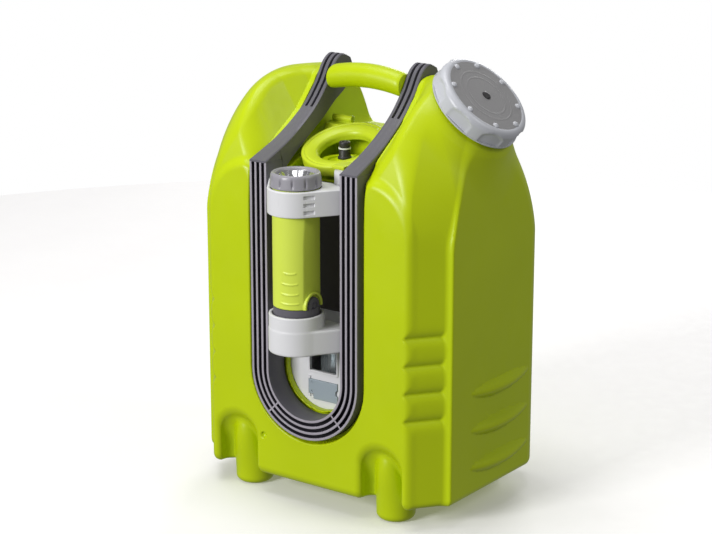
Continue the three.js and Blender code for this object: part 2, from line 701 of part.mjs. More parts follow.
add('battery_pack', batteryPack(), material(0x30509a, 0.4));
add('circuit_board', circuitBoard(), material(COLOURS.board, 0.5));
add('strainer_head', strainerHead(), plastic('dark'));
add('strainer_bowl', strainerBowl(), material(COLOURS.clear, 0.1));
add('strainer_mesh', strainerMesh(), material(COLOURS.steel, 0.4, 1));
add('suction_tube', suctionTube(), material(COLOURS.clear, 0.3));
add('suction_foot', suctionFoot(), plastic('dark'));
add('inlet_tube', inletTube(), material(COLOURS.clear, 0.3));
add('pump_head', pumpHead(), plastic('dark'));
add('pump_diaphragm', diaphragm(), material(COLOURS.rubber, 0.8));
add('pump_crankcase', pumpCrankcase(), plastic('dark'));
add('motor_shaft', motorShaft(), material(COLOURS.steel, 0.3, 1));
add('motor_can', motorCan(), material(COLOURS.steel, 0.4, 1));
add('pressure_switch', pressureSwitch(), plastic('dark'));
add('outlet_tube', outletTube(), material(COLOURS.rubber, 0.6));
add('outlet_nipple', outletNipple(), plastic('dark'));
add('nipple_o_ring', nippleRing(), material(COLOURS.lightGrey, 0.6));

// ---------------------------------------------------------------- lid over the bay
function lidRing() {
  const { outer, hole, thick } = LID;
  const profile = [
    [hole + 3, -thick], [outer - 3, -thick], [outer, -thick + 3], [outer, -3], [outer - 4, 0],
    [hole + 6, -1], [hole, -5], [hole + 3, -thick],
  ];
  return placedOnLid(turned(profile, 36));
}

function bayLid() {
  const { y, z, barrel, x0, x1 } = HINGE;
  const arm = [[y, z - 3.4], [y + 3.4, z], [y, z + barrel], [y - 20, z + 4], [y - 22, z - 5]];
  const knuckle = (a, b) => moved(alongX(rod(barrel, a, b, SMALL_ROUND)), 0, y, z);
  const arms = bothSides(x0, x1, (a, b) => prismX(arm, a, b).add(knuckle(a, b)));
  const clearHole = placedOnLid(rod(LID.outer - 3, -40, 40));
  const tab = block(TAB.x0, TAB.x1, TAB.y0, TAB.y1, TAB.z, TAB.z + TAB.thick).subtract(clearHole);
  return lidRing().add(arms.subtract(clearHole)).add(tab).subtract(pinHole(HINGE.pin + 0.3));
}

function placedOnLid(solid) {
  return solid.rotate([LID.tilt, 0, 0]).translate([0, LID.y, LID.z]);
}

function lidPin() {
  const { pin, x0, x1, lug } = HINGE;
  return alongX(rod(pin, x0 - lug, x1 + lug, SMALL_ROUND));
}

add('bay_lid', bayLid(), plastic('lime'));
for (const [side, sign] of SIDES) {
  const pin = lidPin().scale([sign, 1, 1]).translate([0, HINGE.y, HINGE.z]);
  add(`lid_hinge_pin_${side}`, pin, material(COLOURS.steel, 0.3, 1));
}

// ---------------------------------------------------------------- holders for the handset
function holderPlan(radius, flareY) {
  const front = arc(0, HANDSET.y, radius, 215, 325, 16);
  const { reach, back } = CLIP;
  return [...front, [reach, flareY], [reach, back], [-reach, back], [-reach, flareY]];
}

function upperClip() {
  const body = prismZ(holderPlan(CLIP.radius, CLIP.flareY), CLIP.z0, CLIP.z1);
  const bore = moved(rod(CLIP.bore, 0, 500), 0, HANDSET.y, 0);
  return body.subtract(bore).subtract(atHolderScrews(HOLDER_SCREW.clearance, 34, 75));
}

function lowerCup() {
  const base = prismZ(holderPlan(CUP.radius, CUP.flareY), CUP.z0, CUP.shoulder);
  const rim = moved(rod(CUP.radius, CUP.shoulder - 1, CUP.z1), 0, HANDSET.y, 0);
  const bore = moved(rod(CUP.bore, CUP.z0 + CUP.floor, 500), 0, HANDSET.y, 0);
  return base.add(rim).subtract(bore).subtract(atHolderScrews(HOLDER_SCREW.clearance, 34, 75));
}

function lidCatch() {
  const [foot, top] = [CLIP.z1 + GAP, TAB.z - 0.4];
  const post = [[-100, foot], [CLIP.back, foot], [CLIP.back, top - 3], [-98, top], [-100, top - 2]];
  return prismX(post, TAB.x0 + 3, TAB.x1 - 3);
}

add('upper_clip', upperClip(), plastic('lightGrey'));
add('lower_cup', lowerCup(), plastic('lightGrey'));
add('lid_catch', lidCatch(), plastic('lightGrey'));
for (const [i, holder] of ['clip', 'cup'].entries()) {
  for (const [side, sign] of SIDES) {
    const place = [0, HOLDER_SCREW.y, HOLDER_SCREW.heights[i]];
    const screw = alongX(holderScrew()).scale([sign, 1, 1]).translate(place);
    add(`${holder}_screw_${side}`, screw, material(COLOURS.steel, 0.35, 1));
  }
}

// ---------------------------------------------------------------- spray handset
const handset = new THREE.Group();
handset.position.set(0, HANDSET.y, 0);
model.add(handset);

const SCALLOPS = 12;
const KNOB = { z: 232, radius: 9.5, face: 23.8, root: 19, facet: 23.4 };

function knobPocket(radius, from) {
  return moved(alongX(rod(radius, from, 40, 20)), 0, 0, KNOB.z);
}

// the side facets are flat, as a thumb finds them
function facets(z0, z1) {
  const { facet } = KNOB;
  return bothSides(facet, facet + 10, (a, b) => block(a, b, -30, 30, z0, z1));
}

function handsetBarrel() {
  const { radius, bore, baseTop, top } = HANDSET;
  return ring(bore, radius, baseTop + GAP, top, 32).subtract(facets(baseTop, top - 30))
    .subtract(knobPocket(KNOB.radius + GAP + 0.2, KNOB.root - 0.3));
}

function handsetBase() {
  const { bottom, baseTop, bore } = HANDSET;
  const profile = [
    [4, bottom], [22, bottom], [24.6, bottom + 3], [24.6, baseTop], [bore - 1, baseTop],
    [bore - 1, bottom + 8], [4, bottom + 8], [4, bottom],
  ];
  return turned(profile, 32).subtract(knobPocket(KNOB.radius + GAP + 0.2, KNOB.root - 0.3));
}

function nozzleCollar() {
  const { z0, z1, radius, rim, bore } = COLLAR;
  const body = turned([
    [bore, z0], [radius, z0], [radius, z0 + 4], [rim, z1 - 1], [rim - 1.5, z1], [bore + 1, z1],
    [bore, z1 - 2], [bore, z0],
  ], 36);
  const groove = rod(3, z0 + 2, z1 - 2.5, 10).translate([radius + 2, 0, 0]);
  const scallops = Array.from({ length: SCALLOPS }, (_, i) => groove.rotate([0, 0, (i * 360) / SCALLOPS]));
  return body.subtract(union(...scallops));
}

function nozzleDish() {
  const z = COLLAR.z0;
  const profile = [
    [8.6, z + 1], [10, z + 1], [19.7, z + 10], [19.7, z + 12], [18.6, z + 12], [8.6, z + 2.5], [8.6, z + 1],
  ];
  return turned(profile, 32);
}

function nozzleInsert() {
  const z = COLLAR.z0;
  const disc = rod(8.3, z, z + 3.4, 20).add(rod(3, z + 3.3, z + 5, SMALL_ROUND));
  return disc.subtract(rod(1, z - 1, z + 8, 10));
}

function flowKnob() {
  return alongX(rod(KNOB.radius, KNOB.root, KNOB.face, 20)).translate([0, 0, KNOB.z]);
}

function valveStem() {
  return alongX(rod(2.6, 8, KNOB.root - 0.3, SMALL_ROUND)).translate([0, 0, KNOB.z]);
}

// the valve body stands on the floor of the base and carries the tube up to the nozzle
function waterTube() {
  const { bottom } = HANDSET;
  const tube = rod(6, bottom + 8.3, COLLAR.z0 - 0.3, SMALL_ROUND);
  return tube.subtract(rod(4, bottom, 400, SMALL_ROUND));
}

add('handset_barrel', handsetBarrel(), plastic('lime'), handset);
add('handset_base', handsetBase(), plastic('grey'), handset);
add('handset_water_tube', waterTube(), plastic('dark'), handset);
add('nozzle_collar', nozzleCollar(), plastic('grey'), handset);
add('nozzle_dish', nozzleDish(), material(0xe8e8ea, 0.1, 1), handset);
add('nozzle_insert', nozzleInsert(), plastic('dark'), handset);
add('flow_knob', flowKnob(), plastic('grey'), handset);
add('valve_stem', valveStem(), material(COLOURS.steel, 0.3, 1), handset);

// ---------------------------------------------------------------- origin at the footprint's middle
const root = new THREE.Group();
root.add(model);
root.updateMatrixWorld(true);
const box = new THREE.Box3().setFromObject(model, true);
const middle = box.getCenter(new THREE.Vector3());
model.position.set(-middle.x, -middle.y, -box.min.z);

export default root;
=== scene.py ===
"""The looks of a portable pumped rinse tank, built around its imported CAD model.

Shapes are worked in millimetres about the middle of the tank's body: +X to the filler cap's side, -Y to
the front, +Z up. Moulded pieces are written as distance fields (negative inside the solid), because a
field gives every edge its moulded radius; turned and swept pieces are plain meshes.
"""
import json
import math
from collections import namedtuple

import bpy
import numpy as np
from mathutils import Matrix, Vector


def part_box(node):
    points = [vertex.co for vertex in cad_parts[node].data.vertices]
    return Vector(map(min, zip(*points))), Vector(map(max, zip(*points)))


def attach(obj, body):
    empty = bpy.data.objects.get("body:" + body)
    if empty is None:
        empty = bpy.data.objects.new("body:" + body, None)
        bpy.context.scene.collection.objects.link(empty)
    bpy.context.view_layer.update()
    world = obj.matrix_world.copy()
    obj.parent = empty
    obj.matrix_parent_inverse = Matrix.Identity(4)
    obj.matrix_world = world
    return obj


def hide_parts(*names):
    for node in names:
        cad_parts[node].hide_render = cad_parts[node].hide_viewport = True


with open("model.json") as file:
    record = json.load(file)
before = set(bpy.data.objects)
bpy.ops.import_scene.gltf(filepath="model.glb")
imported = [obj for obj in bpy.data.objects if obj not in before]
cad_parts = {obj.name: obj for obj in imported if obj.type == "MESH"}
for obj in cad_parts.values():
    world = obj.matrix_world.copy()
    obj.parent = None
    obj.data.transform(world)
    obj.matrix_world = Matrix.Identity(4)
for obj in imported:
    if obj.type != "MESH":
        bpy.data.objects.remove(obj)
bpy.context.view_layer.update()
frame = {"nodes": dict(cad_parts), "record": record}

import openvdb
from mathutils import Vector

MM = 0.001

# -------------------- design sizes, millimetres
BODY_HALF_WIDTH = 160.4  # of the CAD tank, for the origin; SIDE_WALL stands a little wider
BODY_HALF_DEPTH = 113.0
UNDERSIDE = 22.9
UNDERSIDE_EDGE = 9  # radius round the underside
CROWN = 470.0  # height of the lobes' tops
WALL = 6.0  # thicker than the real wall, which the mesh could not hold everywhere

# A wall stands upright this far out, and from its foot it closes in over its core, up to its top. A power
# of 2 closes in as an ellipse, less is straighter and more is squarer.
Wall = namedtuple("Wall", "out core foot power top", defaults=(CROWN,))
SIDE_WALL = Wall(162.6, 76, 300, 2.45)
FRONT_WALL = Wall(BODY_HALF_DEPTH, 8, 308, 2.15)
BACK_WALL = Wall(BODY_HALF_DEPTH, 26, 290, 1.5)
BACK_CORNER = Wall(243.4, 102, 290, 1.45)  # out and core are measured as x + y
FRONT_CORNER = Wall(173.0, 66, 300, 1.85)  # the channel down each front corner
CORNER_FACING = (0.794, 0.607)  # faces this way, out and forward
CORNER_STRIP = Wall(81.5, -10, 300, 1.35)  # the narrow strip that ends the front corner
EDGES_SOFTEN = (330, 440)  # between these heights the upright edges' radii grow
BODY_EDGE = (7, 27)
CORNER_EDGE = (3, 17)
CORNER_GROOVES = (120, 150, 180, 210)
GROOVE_REACH, GROOVE_DEPTH = 15, 6.5

PANEL_ARCH = (78, 308)  # x and z where each front panel's arch begins
PANEL_ARCH_SIZE = (52, 59)
PANEL_ARCH_SCALE = 50  # makes the arch's field nearly a distance
PANEL_BACK = -60

LEAF_MIDDLES = (56.0, 97.5, 138.5)
LEAF_Y, LEAF_HALF_LENGTH, LEAF_HALF_HEIGHT = 13, 57, 9.4
LEAF_SWELL, LEAF_SAG = 8.0, 2.5
LEAF_SIDE = (120, 150)  # they grow between these distances to the right

VALLEY_BACK = 30
VALLEY_HALF_WIDTH = 118
VALLEY_CLIMB = 1.6  # rise over run of its sides, outside the frame
VALLEY_DROP, VALLEY_DROPS = 3.0, (8, 60)  # how far it drops, between these distances forward
VALLEY_EDGE, VALLEY_SHARPENS = (30, 16), (395, 440)  # radii of its edge, between these heights
DIMPLE, DIMPLE_RADIUS = (-58.7, -115, 67.9), 3.6

BAY_HALF_WIDTH = 60.0  # between the lobes, over the ledge
BAY_ARC_Z = 146.3  # centre of the bay's round lower end
WELL_RADIUS = 47.4
WELL_FRONT, WELL_BACK = -82.8, 2.0
MOUTH_RADIUS = 44.5
MOUTH_BACK = -80.0
LIP_FRONT, LIP_TOP = -90.5, 356.0
SEAT_GAP = 0.3  # between the frame and its seat

FRAME_OUTER = 69.8
FRAME_INNER = 47.65
FRAME_FRONT = -119.0
FRAME_BACK = -91.0
FRAME_TOP = 374.0
LOOP_TOP = FRAME_TOP - 2  # the ribbed loop ends here, inside the arms
ARM_OUTER = 65.5  # half width over the arms where their slots run
ARM_SLOTS_FROM = -31.0
ARM_TOP_LINE = [(-119, 374), (-75, 392), (-36, 416), (-12, 440), (0, 458), (8, 466), (18, 469),
                (30, 464)]
ARM_UNDER_LINE = [(-91, 354), (-80, 366), (-50, 386), (-20, 404), (2, 420), (18, 429), (32, 441),
                  (36, 452)]

NECK = (147.4, 0.0, 447.6)
NECK_TILT = math.radians(43.35)
NECK_OUTER = 46.0
NECK_BORE = 38.0
NECK_SPAN, THROAT_FLOOR = (-50, -7), -60  # along its axis
THREAD_PITCH, THREAD_HEIGHT = 6.0, 1.6
THREAD_TOP, THREAD_END = (8, 9.5), (-22, -20.5)  # how far down it fades in, and where it fades out
BOSS_RADII = ([-90, -80, -32, -24], [76, 74, 56, 50])  # heights along the neck's axis, and radii there
BOSS_SPAN = (-110, -24)
BOSS_SLOPE = 0.93  # cosine of the cone's slope

FOOT_X = 95.7
FOOT_Y = 84.0
FOOT = Wall(21.0, 0, 14, 1.65, 88.0)
FOOT_LEAN, FOOT_LEANS = 12, (10, 75)  # outward from the middle, between these heights
SCOOP_ARCH_Z, SCOOP_RADIUS = 62, 26
SCOOP_HEIGHTS, SCOOP_DEPTHS = (36, 96), (20, 2)

HANDLE_HALF = 47.2
HANDLE_RADIUS = 13.5
HANDLE_Y = -2.0
HANDLE_Z, HANDLE_ARCH = 452.5, 5.5
BOLT_Y, BOLT_Z = 5.5, 443.0

CAP_GRIPS = 8
CAP_FIRST_GRIP = math.radians(13.5)
CAP_SKIRT = 53.1
CAP_LIP_Z = -19.3  # top of the lip round the skirt's bottom
CAP_GRIP_HALF_ANGLE, CAP_GRIP_DEPTH = 0.26, 2.2
CAP_GRIP_TOP, CAP_GRIP_ARCH = -3.5, 5.5  # how high the scoops reach, and their arches' height
CAP_FACE_HOLE, CAP_FACE_RADIUS = 3.6, 45.3
CAP_FACE_Z, CAP_BACK_Z = -0.5, -3.0
CAP_RINGS = (24.0, 32.0)
CAP_BUTTONS_AT = 42.0

MODULE_FRONT = -82.5
MODULE_TOP = 352.0
NIPPLE_Y = -45.0
NIPPLE_FLOOR = 370.0

LID_CENTRE = (-46.0, 386.0)  # y and z of the ring's middle
LID_TILT = math.radians(20)
LID_OUTER = 46.8
LID_HOLE = 28.5
LID_LEVELS = (-12.5, 0.4)  # the ring's underside and top, from its middle
LID_DISH, LID_SLOPE = 3.4, 0.55  # its top's drop at the hole, and its slope there
LID_GROOVE = (42.2, 0.9)  # radius and level of the groove's centre line
HINGE = (8.0, 393.0)  # y and z of the hinge pins
HINGE_ARMS = (23, 51)  # the lid's hinge arms, either side of the middle
HINGE_LUGS = ((51.3, 58), (16, 22.7))

HANDSET_Y = -130.0
HOLDER_LEAN = math.radians(55)
HOLDER_BACK, HOLDER_SIDE = -96, 47.3
CLIP_LOW, CLIP_HIGH = 329.0, 356.0
CLIP_RADIUS, CLIP_BORE = 29.8, 26.2
CLIP_NOTCHES, NOTCH_HALF = (334.3, 342.2, 350.1), 1.8
CUP_LOW, CUP_SHOULDER, CUP_HIGH = 181.0, 207.0, 222.0
CUP_RADIUS, CUP_BORE, CUP_FLOOR = 29.4, 25.9, 185.6
BARREL_LOW, BARREL_HIGH = 229.9, 356.2
BARREL_RADIUS = 25.0
BARREL_BORE = 18.2
BARREL_FLATS, BARREL_WIDENS = (20.4, 22.0), (290, 350)
BARREL_RIDGES = ((237.5, 0.50), (247.5, 0.46), (258.5, 0.42), (270.0, 0.34))  # height, half angle
BARREL_RIDGES_AT = math.radians(20)
RIDGE_SAG, RIDGE_WIDTH, RIDGE_HEIGHT = 1.3, 0.9, 0.72
KNOB_Z = 232.0
KNOB_LIP, KNOB_WELL = 13.4, 11.9

tank_low, tank_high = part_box("tank_shell")
ORIGIN = np.array((tank_low.x + BODY_HALF_WIDTH * MM, (tank_low.y + tank_high.y) / 2, tank_low.z))


# -------------------- distance fields
def both(a, b, radius=0.0):
    """Where two fields meet, with the outer edge rounded."""
    u = np.maximum(a + radius, 0)
    v = np.maximum(b + radius, 0)
    return np.minimum(np.maximum(a, b), -radius) + np.hypot(u, v)


def joined(a, b, radius=0.0):
    """Two fields as one, with a fillet in the inner corner."""
    return -both(-a, -b, radius)


def carved(a, b, radius=0.0):
    """The first field with the second cut out of it."""
    return both(a, -b, radius)


def between(value, low, high):
    return np.abs(value - (low + high) / 2) - (high - low) / 2


def step(value, low, high):
    t = np.clip((value - low) / (high - low), 0, 1)
    return t * t * (3 - 2 * t)


def eased(value, span, ends):
    """Goes smoothly from one end to the other while the value crosses the span."""
    return ends[0] + (ends[1] - ends[0]) * step(value, *span)


def turned(a, b, angle):
    """Two fields' values along axes turned by an angle."""
    return a * math.cos(angle) + b * math.sin(angle), b * math.cos(angle) - a * math.sin(angle)


def min_distance(value, places):
    result = np.abs(value - places[0])
    for place in places[1:]:
        result = np.minimum(result, np.abs(value - place))
    return result


def block(x, y, z, xs, ys, zs, radius=0.0):
    return both(both(between(x, *xs), between(y, *ys), radius), between(z, *zs), radius)


def outline_field(points, u, v):
    """Signed distance to a closed outline in the plane of u and v."""
    nearest = None
    inside = False
    for (a0, a1), (b0, b1) in zip(points, points[1:] + points[:1]):
        e0, e1 = b0 - a0, b1 - a1
        w0, w1 = u - a0, v - a1
        t = np.clip((w0 * e0 + w1 * e1) / (e0 * e0 + e1 * e1), 0, 1)
        square = (w0 - e0 * t) ** 2 + (w1 - e1 * t) ** 2
        nearest = square if nearest is None else np.minimum(nearest, square)
        if a1 != b1:
            crossed = ((a1 > v) != (b1 > v)) & (u < e0 * (v - a1) / e1 + a0)
            inside = inside ^ crossed
    return np.where(inside, -1, 1) * np.sqrt(nearest)


def curve(points, count):
    """A smooth run of points through the given ones."""
    ends = [points[0], *points, points[-1]]
    path = []
    for i in range(1, len(ends) - 2):
        p0, p1, p2, p3 = (np.array(p, float) for p in ends[i - 1:i + 3])
        for t in np.arange(count) / count:
            path.append(0.5 * (2 * p1 + (p2 - p0) * t + (2 * p0 - 5 * p1 + 4 * p2 - p3) * t ** 2
                               + (3 * p1 - p0 - 3 * p2 + p3) * t ** 3))
    path.append(np.array(points[-1], float))
    return np.array(path)


def above(line, y, z):
    """Signed height over a line of (y, z), measured square to it; positive above."""
    slope = np.gradient(line[:, 1], line[:, 0])
    square = 1 / np.hypot(1, slope)
    return (z - np.interp(y, *line.T)) * np.interp(y, line[:, 0], square)


def slot_field(x, z, radius):
    """A slot with a round lower end about the bay's arc centre, open at the top."""
    return np.where(z > BAY_ARC_Z, np.abs(x), np.hypot(x, z - BAY_ARC_Z)) - radius


def dome_field(u, z, wall):
    """A wall that stands upright to its foot and then closes in over its core as a superellipse."""
    reach, rise = wall.out - wall.core, wall.top - wall.foot
    a = np.maximum(u - wall.core, 0) / reach
    b = np.maximum(z - wall.foot, 0) / rise
    power = wall.power
    gauge = np.maximum((a ** power + b ** power) ** (1 / power), 1e-3)
    slope = np.hypot(a ** (power - 1) / reach, b ** (power - 1) / rise) / gauge ** (power - 1)
    return (gauge - 1) / np.maximum(slope, 0.4 / max(reach, rise))


# -------------------- meshes
UPRIGHT = (np.eye(3), np.zeros(3))


def turned_frame(angle, origin):
    """Axes turned about Y, as a matrix and an origin in design millimetres."""
    c, s = math.cos(angle), math.sin(angle)
    return np.array([[c, 0, s], [0, 1, 0], [-s, 0, c]]), np.array(origin, float)


NECK_FRAME = turned_frame(NECK_TILT, NECK)


def new_mesh(name, vertices, faces):
    mesh = bpy.data.meshes.new(name)
    mesh.from_pydata(np.asarray(vertices, float).tolist(), [], [list(map(int, f)) for f in faces])
    mesh.update()
    return mesh


def new_object(name, parts, axes=UPRIGHT, crease=38):
    """One object from (vertices, faces) parts in millimetres; edges sharper than crease stay crisp."""
    vertices, faces = [], []
    for points, loops in parts:
        start = sum(len(v) for v in vertices)
        vertices.append(np.asarray(points, float))
        faces += [[i + start for i in loop] for loop in loops]
    placed_points = (np.concatenate(vertices) @ axes[0].T + axes[1]) * MM + ORIGIN
    mesh = new_mesh(name, placed_points, faces)
    mesh.shade_smooth()
    mesh.set_sharp_from_angle(angle=math.radians(crease))
    obj = bpy.data.objects.new(name, mesh)
    bpy.context.scene.collection.objects.link(obj)
    return obj


def gradient(field, points, h):
    x, y, z = points.T
    parts = [field(x + h, y, z) - field(x - h, y, z), field(x, y + h, z) - field(x, y - h, z),
             field(x, y, z + h) - field(x, y, z - h)]
    return np.stack(parts, axis=1) / (2 * h)


def settle(field, points, limit):
    """Moves points that lie near the field's surface exactly onto it."""
    h = 0.05
    for _ in range(2):
        x, y, z = points.T
        value = field(x, y, z)
        slope = np.stack([field(x + h, y, z), field(x, y + h, z), field(x, y, z + h)], axis=1)
        slope = (slope - value[:, None]) / h
        move = slope * (value / np.maximum((slope ** 2).sum(1), 0.05))[:, None]
        length = np.linalg.norm(move, axis=1, keepdims=True)
        points = points - move * np.minimum(1, limit / np.maximum(length, 1e-9))
    return points


def moulded(name, field, low, high, pitch, keep=0.6):
    """The surface of a field inside a box, as an object; keep is the share of faces left by thinning."""
    lines = [np.arange(a - 2 * pitch, b + 3 * pitch, pitch) for a, b in zip(low, high)]
    x, y, z = lines[0][:, None, None], lines[1][None, :, None], lines[2][None, None, :]
    values = np.broadcast_to(field(x, y, z), tuple(len(a) for a in lines))
    grid = openvdb.FloatGrid()
    grid.copyFromArray(np.ascontiguousarray(values, dtype=np.float32))
    points, quads = grid.convertToQuads(isovalue=0.0)
    points = points.astype(float) * pitch + np.array([a[0] for a in lines])
    mesh = new_mesh(name, settle(field, points, pitch * 0.6), quads)
    obj = bpy.data.objects.new(name, mesh)
    bpy.context.scene.collection.objects.link(obj)
    thinned(obj, keep)
    finish_moulding(obj.data, field)
    return obj


def thinned(obj, keep):
    thin = obj.modifiers.new("thin", "DECIMATE")
    thin.ratio = keep
    bpy.context.view_layer.update()
    mesh = bpy.data.meshes.new_from_object(obj.evaluated_get(bpy.context.evaluated_depsgraph_get()))
    obj.modifiers.clear()
    obj.data = mesh


def finish_moulding(mesh, field):
    """Puts a mesh in its place, with the field's normals, or the faces' where the two disagree."""
    local = np.empty(len(mesh.vertices) * 3)
    mesh.vertices.foreach_get("co", local)
    local = local.reshape(-1, 3)
    normals = gradient(field, local, 0.2)
    normals /= np.maximum(np.linalg.norm(normals, axis=1, keepdims=True), 1e-9)
    mesh.vertices.foreach_set("co", (local * MM + ORIGIN).ravel())
    mesh.update()
    mesh.shade_smooth()
    from_faces = np.empty(len(mesh.vertices) * 3, dtype=np.float32)
    mesh.vertex_normals.foreach_get("vector", from_faces)
    from_faces = from_faces.reshape(-1, 3)
    astray = (normals * from_faces).sum(1, keepdims=True) < 0.5
    mesh.normals_split_custom_set_from_vertices(np.where(astray, from_faces, normals).tolist())


def lathe(profile, sides=96, place=(0, 0, 0), shape=None):
    """A profile of (radius, height) turned about Z; shape(radius, height, angle) may move a point."""
    angles = np.arange(sides) * 2 * math.pi / sides
    points, rows = [], []
    for r, z in profile:
        if r < 1e-6:
            rows.append([len(points)] * sides)
            points.append((0, 0, z))
            continue
        rows.append(list(range(len(points), len(points) + sides)))
        for angle in angles:
            radius, height = shape(r, z, angle) if shape else (r, z)
            points.append((radius * math.cos(angle), radius * math.sin(angle), height))
    closed = profile[0][0] > 1e-6 or profile[-1][0] > 1e-6
    faces = []
    for lower, upper in list(zip(rows, rows[1:])) + ([(rows[-1], rows[0])] if closed else []):
        for i in range(sides):
            j = (i + 1) % sides
            loop = [lower[i], lower[j], upper[j], upper[i]]
            loop = [v for k, v in enumerate(loop) if v != loop[k - 1]]
            if len(loop) > 2:
                faces.append(loop)
    return np.array(points) + np.array(place), faces


def swept(rows):
    """A solid through closed rows of points, with its first and last rows as flat ends."""
    count = len(rows[0])
    faces = []
    for k in range(len(rows) - 1):
        for i in range(count):
            j = (i + 1) % count
            faces.append([k * count + i, k * count + j, (k + 1) * count + j, (k + 1) * count + i])
    last = (len(rows) - 1) * count
    faces += [list(range(count))[::-1], list(range(last, last + count))]
    return np.concatenate(rows), faces


def rounded(points, radius, steps=2):
    """An outline with its corners rounded, as far as their neighbours allow."""
    result = []
    count = len(points)
    for i, point in enumerate(points):
        p = np.array(point, float)
        a = np.array(points[i - 1], float) - p
        b = np.array(points[(i + 1) % count], float) - p
        la, lb = np.linalg.norm(a), np.linalg.norm(b)
        r = min(radius, la * 0.45, lb * 0.45)
        start, end = p + a / la * r, p + b / lb * r
        for t in np.linspace(0, 1, steps + 1):
            result.append(tuple((1 - t) ** 2 * start + 2 * t * (1 - t) * p + t * t * end))
    return result


def resampled(points, count):
    """Evenly spaced points along a polyline."""
    points = np.array(points, float)
    run = np.concatenate([[0], np.cumsum(np.linalg.norm(np.diff(points, axis=0), axis=1))])
    at = np.linspace(0, run[-1], count)
    return np.stack([np.interp(at, run, column) for column in points.T], axis=1)


# -------------------- materials
def noise(tree, coordinates, scale, detail=3.0):
    item = tree.nodes.new("ShaderNodeTexNoise")
    item.inputs["Scale"].default_value = scale
    item.inputs["Detail"].default_value = detail
    tree.links.new(coordinates, item.inputs["Vector"])
    return item.outputs["Fac"]


def ramp(tree, value, low, high, from_low=0.3, from_high=0.7):
    item = tree.nodes.new("ShaderNodeMapRange")
    limits = {"From Min": from_low, "From Max": from_high, "To Min": low, "To Max": high}
    for key, number in limits.items():
        item.inputs[key].default_value = number
    tree.links.new(value, item.inputs["Value"])
    return item.outputs["Result"]


def colours(tree, value, dark, light):
    item = tree.nodes.new("ShaderNodeMix")
    item.data_type = "RGBA"
    item.inputs[6].default_value = (*dark, 1)
    item.inputs[7].default_value = (*light, 1)
    tree.links.new(value, item.inputs["Factor"])
    return item.outputs[2]


def bumped(tree, height, strength, distance, below=None):
    item = tree.nodes.new("ShaderNodeBump")
    item.inputs["Strength"].default_value = strength
    item.inputs["Distance"].default_value = distance
    tree.links.new(height, item.inputs["Height"])
    if below:
        tree.links.new(below, item.inputs["Normal"])
    return item.outputs["Normal"]


DRIFT_SCALE, PATCH_SCALE, RIPPLE_SCALE = 9.0, 60.0, 34.0  # of the noises, per metre
GRAIN_DEPTH, RIPPLE_DEPTH = 0.0003, 0.0006  # metres
FINISHES = {}  # the materials by name


def finish(name, colour, roughness=0.4, spread=0.08, tone=0.06, grain=900.0, bump=0.15, metallic=0.0,
           specular=0.5, transmission=0.0, stretch=1.0, ripple=0.0):
    """Moulded or metal surface: slow colour drift, patchy gloss, a fine grain and a faint ripple."""
    material = bpy.data.materials.new(name)
    material.use_nodes = True
    tree = material.node_tree
    shader = tree.nodes["Principled BSDF"]
    place = tree.nodes.new("ShaderNodeTexCoord").outputs["Object"]
    drift = ramp(tree, noise(tree, place, DRIFT_SCALE), 0, 1)
    dark = tuple(c * (1 - tone) for c in colour)
    light = tuple(min(1, c * (1 + tone)) for c in colour)
    tree.links.new(colours(tree, drift, dark, light), shader.inputs["Base Color"])
    patches = ramp(tree, noise(tree, place, PATCH_SCALE, 4.0), roughness - spread, roughness + spread)
    tree.links.new(patches, shader.inputs["Roughness"])
    mapping = tree.nodes.new("ShaderNodeMapping")
    mapping.inputs["Scale"].default_value = (1, 1, stretch)
    tree.links.new(place, mapping.inputs["Vector"])
    below = bumped(tree, noise(tree, place, RIPPLE_SCALE, 2.0), ripple, RIPPLE_DEPTH) if ripple else None
    normal = bumped(tree, noise(tree, mapping.outputs["Vector"], grain, 2.0), bump, GRAIN_DEPTH, below)
    tree.links.new(normal, shader.inputs["Normal"])
    shader.inputs["Metallic"].default_value = metallic
    shader.inputs["Specular IOR Level"].default_value = specular
    shader.inputs["Transmission Weight"].default_value = transmission
    FINISHES[name] = material
    return material


def srgb(*channels):
    """A colour given as screen values from 0 to 255, in the linear values that shaders take."""
    return tuple(((c / 255 + 0.055) / 1.055) ** 2.4 if c > 10 else c / 255 / 12.92 for c in channels)


finish("lime_plastic", srgb(190, 210, 4), 0.36, 0.05, 0.03, specular=0.35, ripple=0.10)
finish("lime_light_plastic", srgb(216, 233, 84), 0.36, 0.05, 0.03, specular=0.4)
finish("lid_lime_plastic", srgb(196, 214, 40), 0.36, 0.05, 0.03, specular=0.35)
finish("frame_grey", srgb(100, 98, 106), 0.45, 0.06, 0.05, bump=0.25, specular=0.35)
# painted light: a lighter copy of frame_grey for the ribs' front faces, which face the key light
finish("rib_front_painted_light", srgb(166, 161, 170), 0.4, 0.05, 0.04, bump=0.2, specular=0.4)
finish("collar_grey", srgb(152, 150, 157), 0.34, 0.06, 0.05)
finish("light_grey", srgb(224, 224, 226), 0.42, 0.05, 0.025)
finish("cap_silver", srgb(196, 198, 204), 0.34, 0.06, 0.03, bump=0.2)
# painted shade: a darker copy of cap_silver for the cap's face, which faces away from the key light
finish("cap_face_painted_shade", srgb(146, 145, 146), 0.42, 0.06, 0.04, bump=0.4)
finish("dark_plastic", srgb(44, 42, 44), 0.4, 0.08, 0.1)
# painted shade: near-black for the walls and floors of the frame's deep grooves, where shade falls
finish("groove_painted_shade", srgb(40, 38, 46), 0.5, 0.08, 0.1)
finish("panel_dark", srgb(74, 70, 68), 0.5, 0.06, 0.06)
finish("pale_blue", srgb(158, 170, 178), 0.4, 0.06, 0.04)
finish("rubber", srgb(38, 38, 38), 0.75, 0.08, 0.12, bump=0.4, specular=0.3)
finish("steel", srgb(190, 191, 194), 0.3, 0.08, 0.04, grain=90.0, metallic=1.0, stretch=12.0)
finish("chrome", srgb(214, 214, 218), 0.16, 0.04, 0.01, metallic=1.0, bump=0.02)
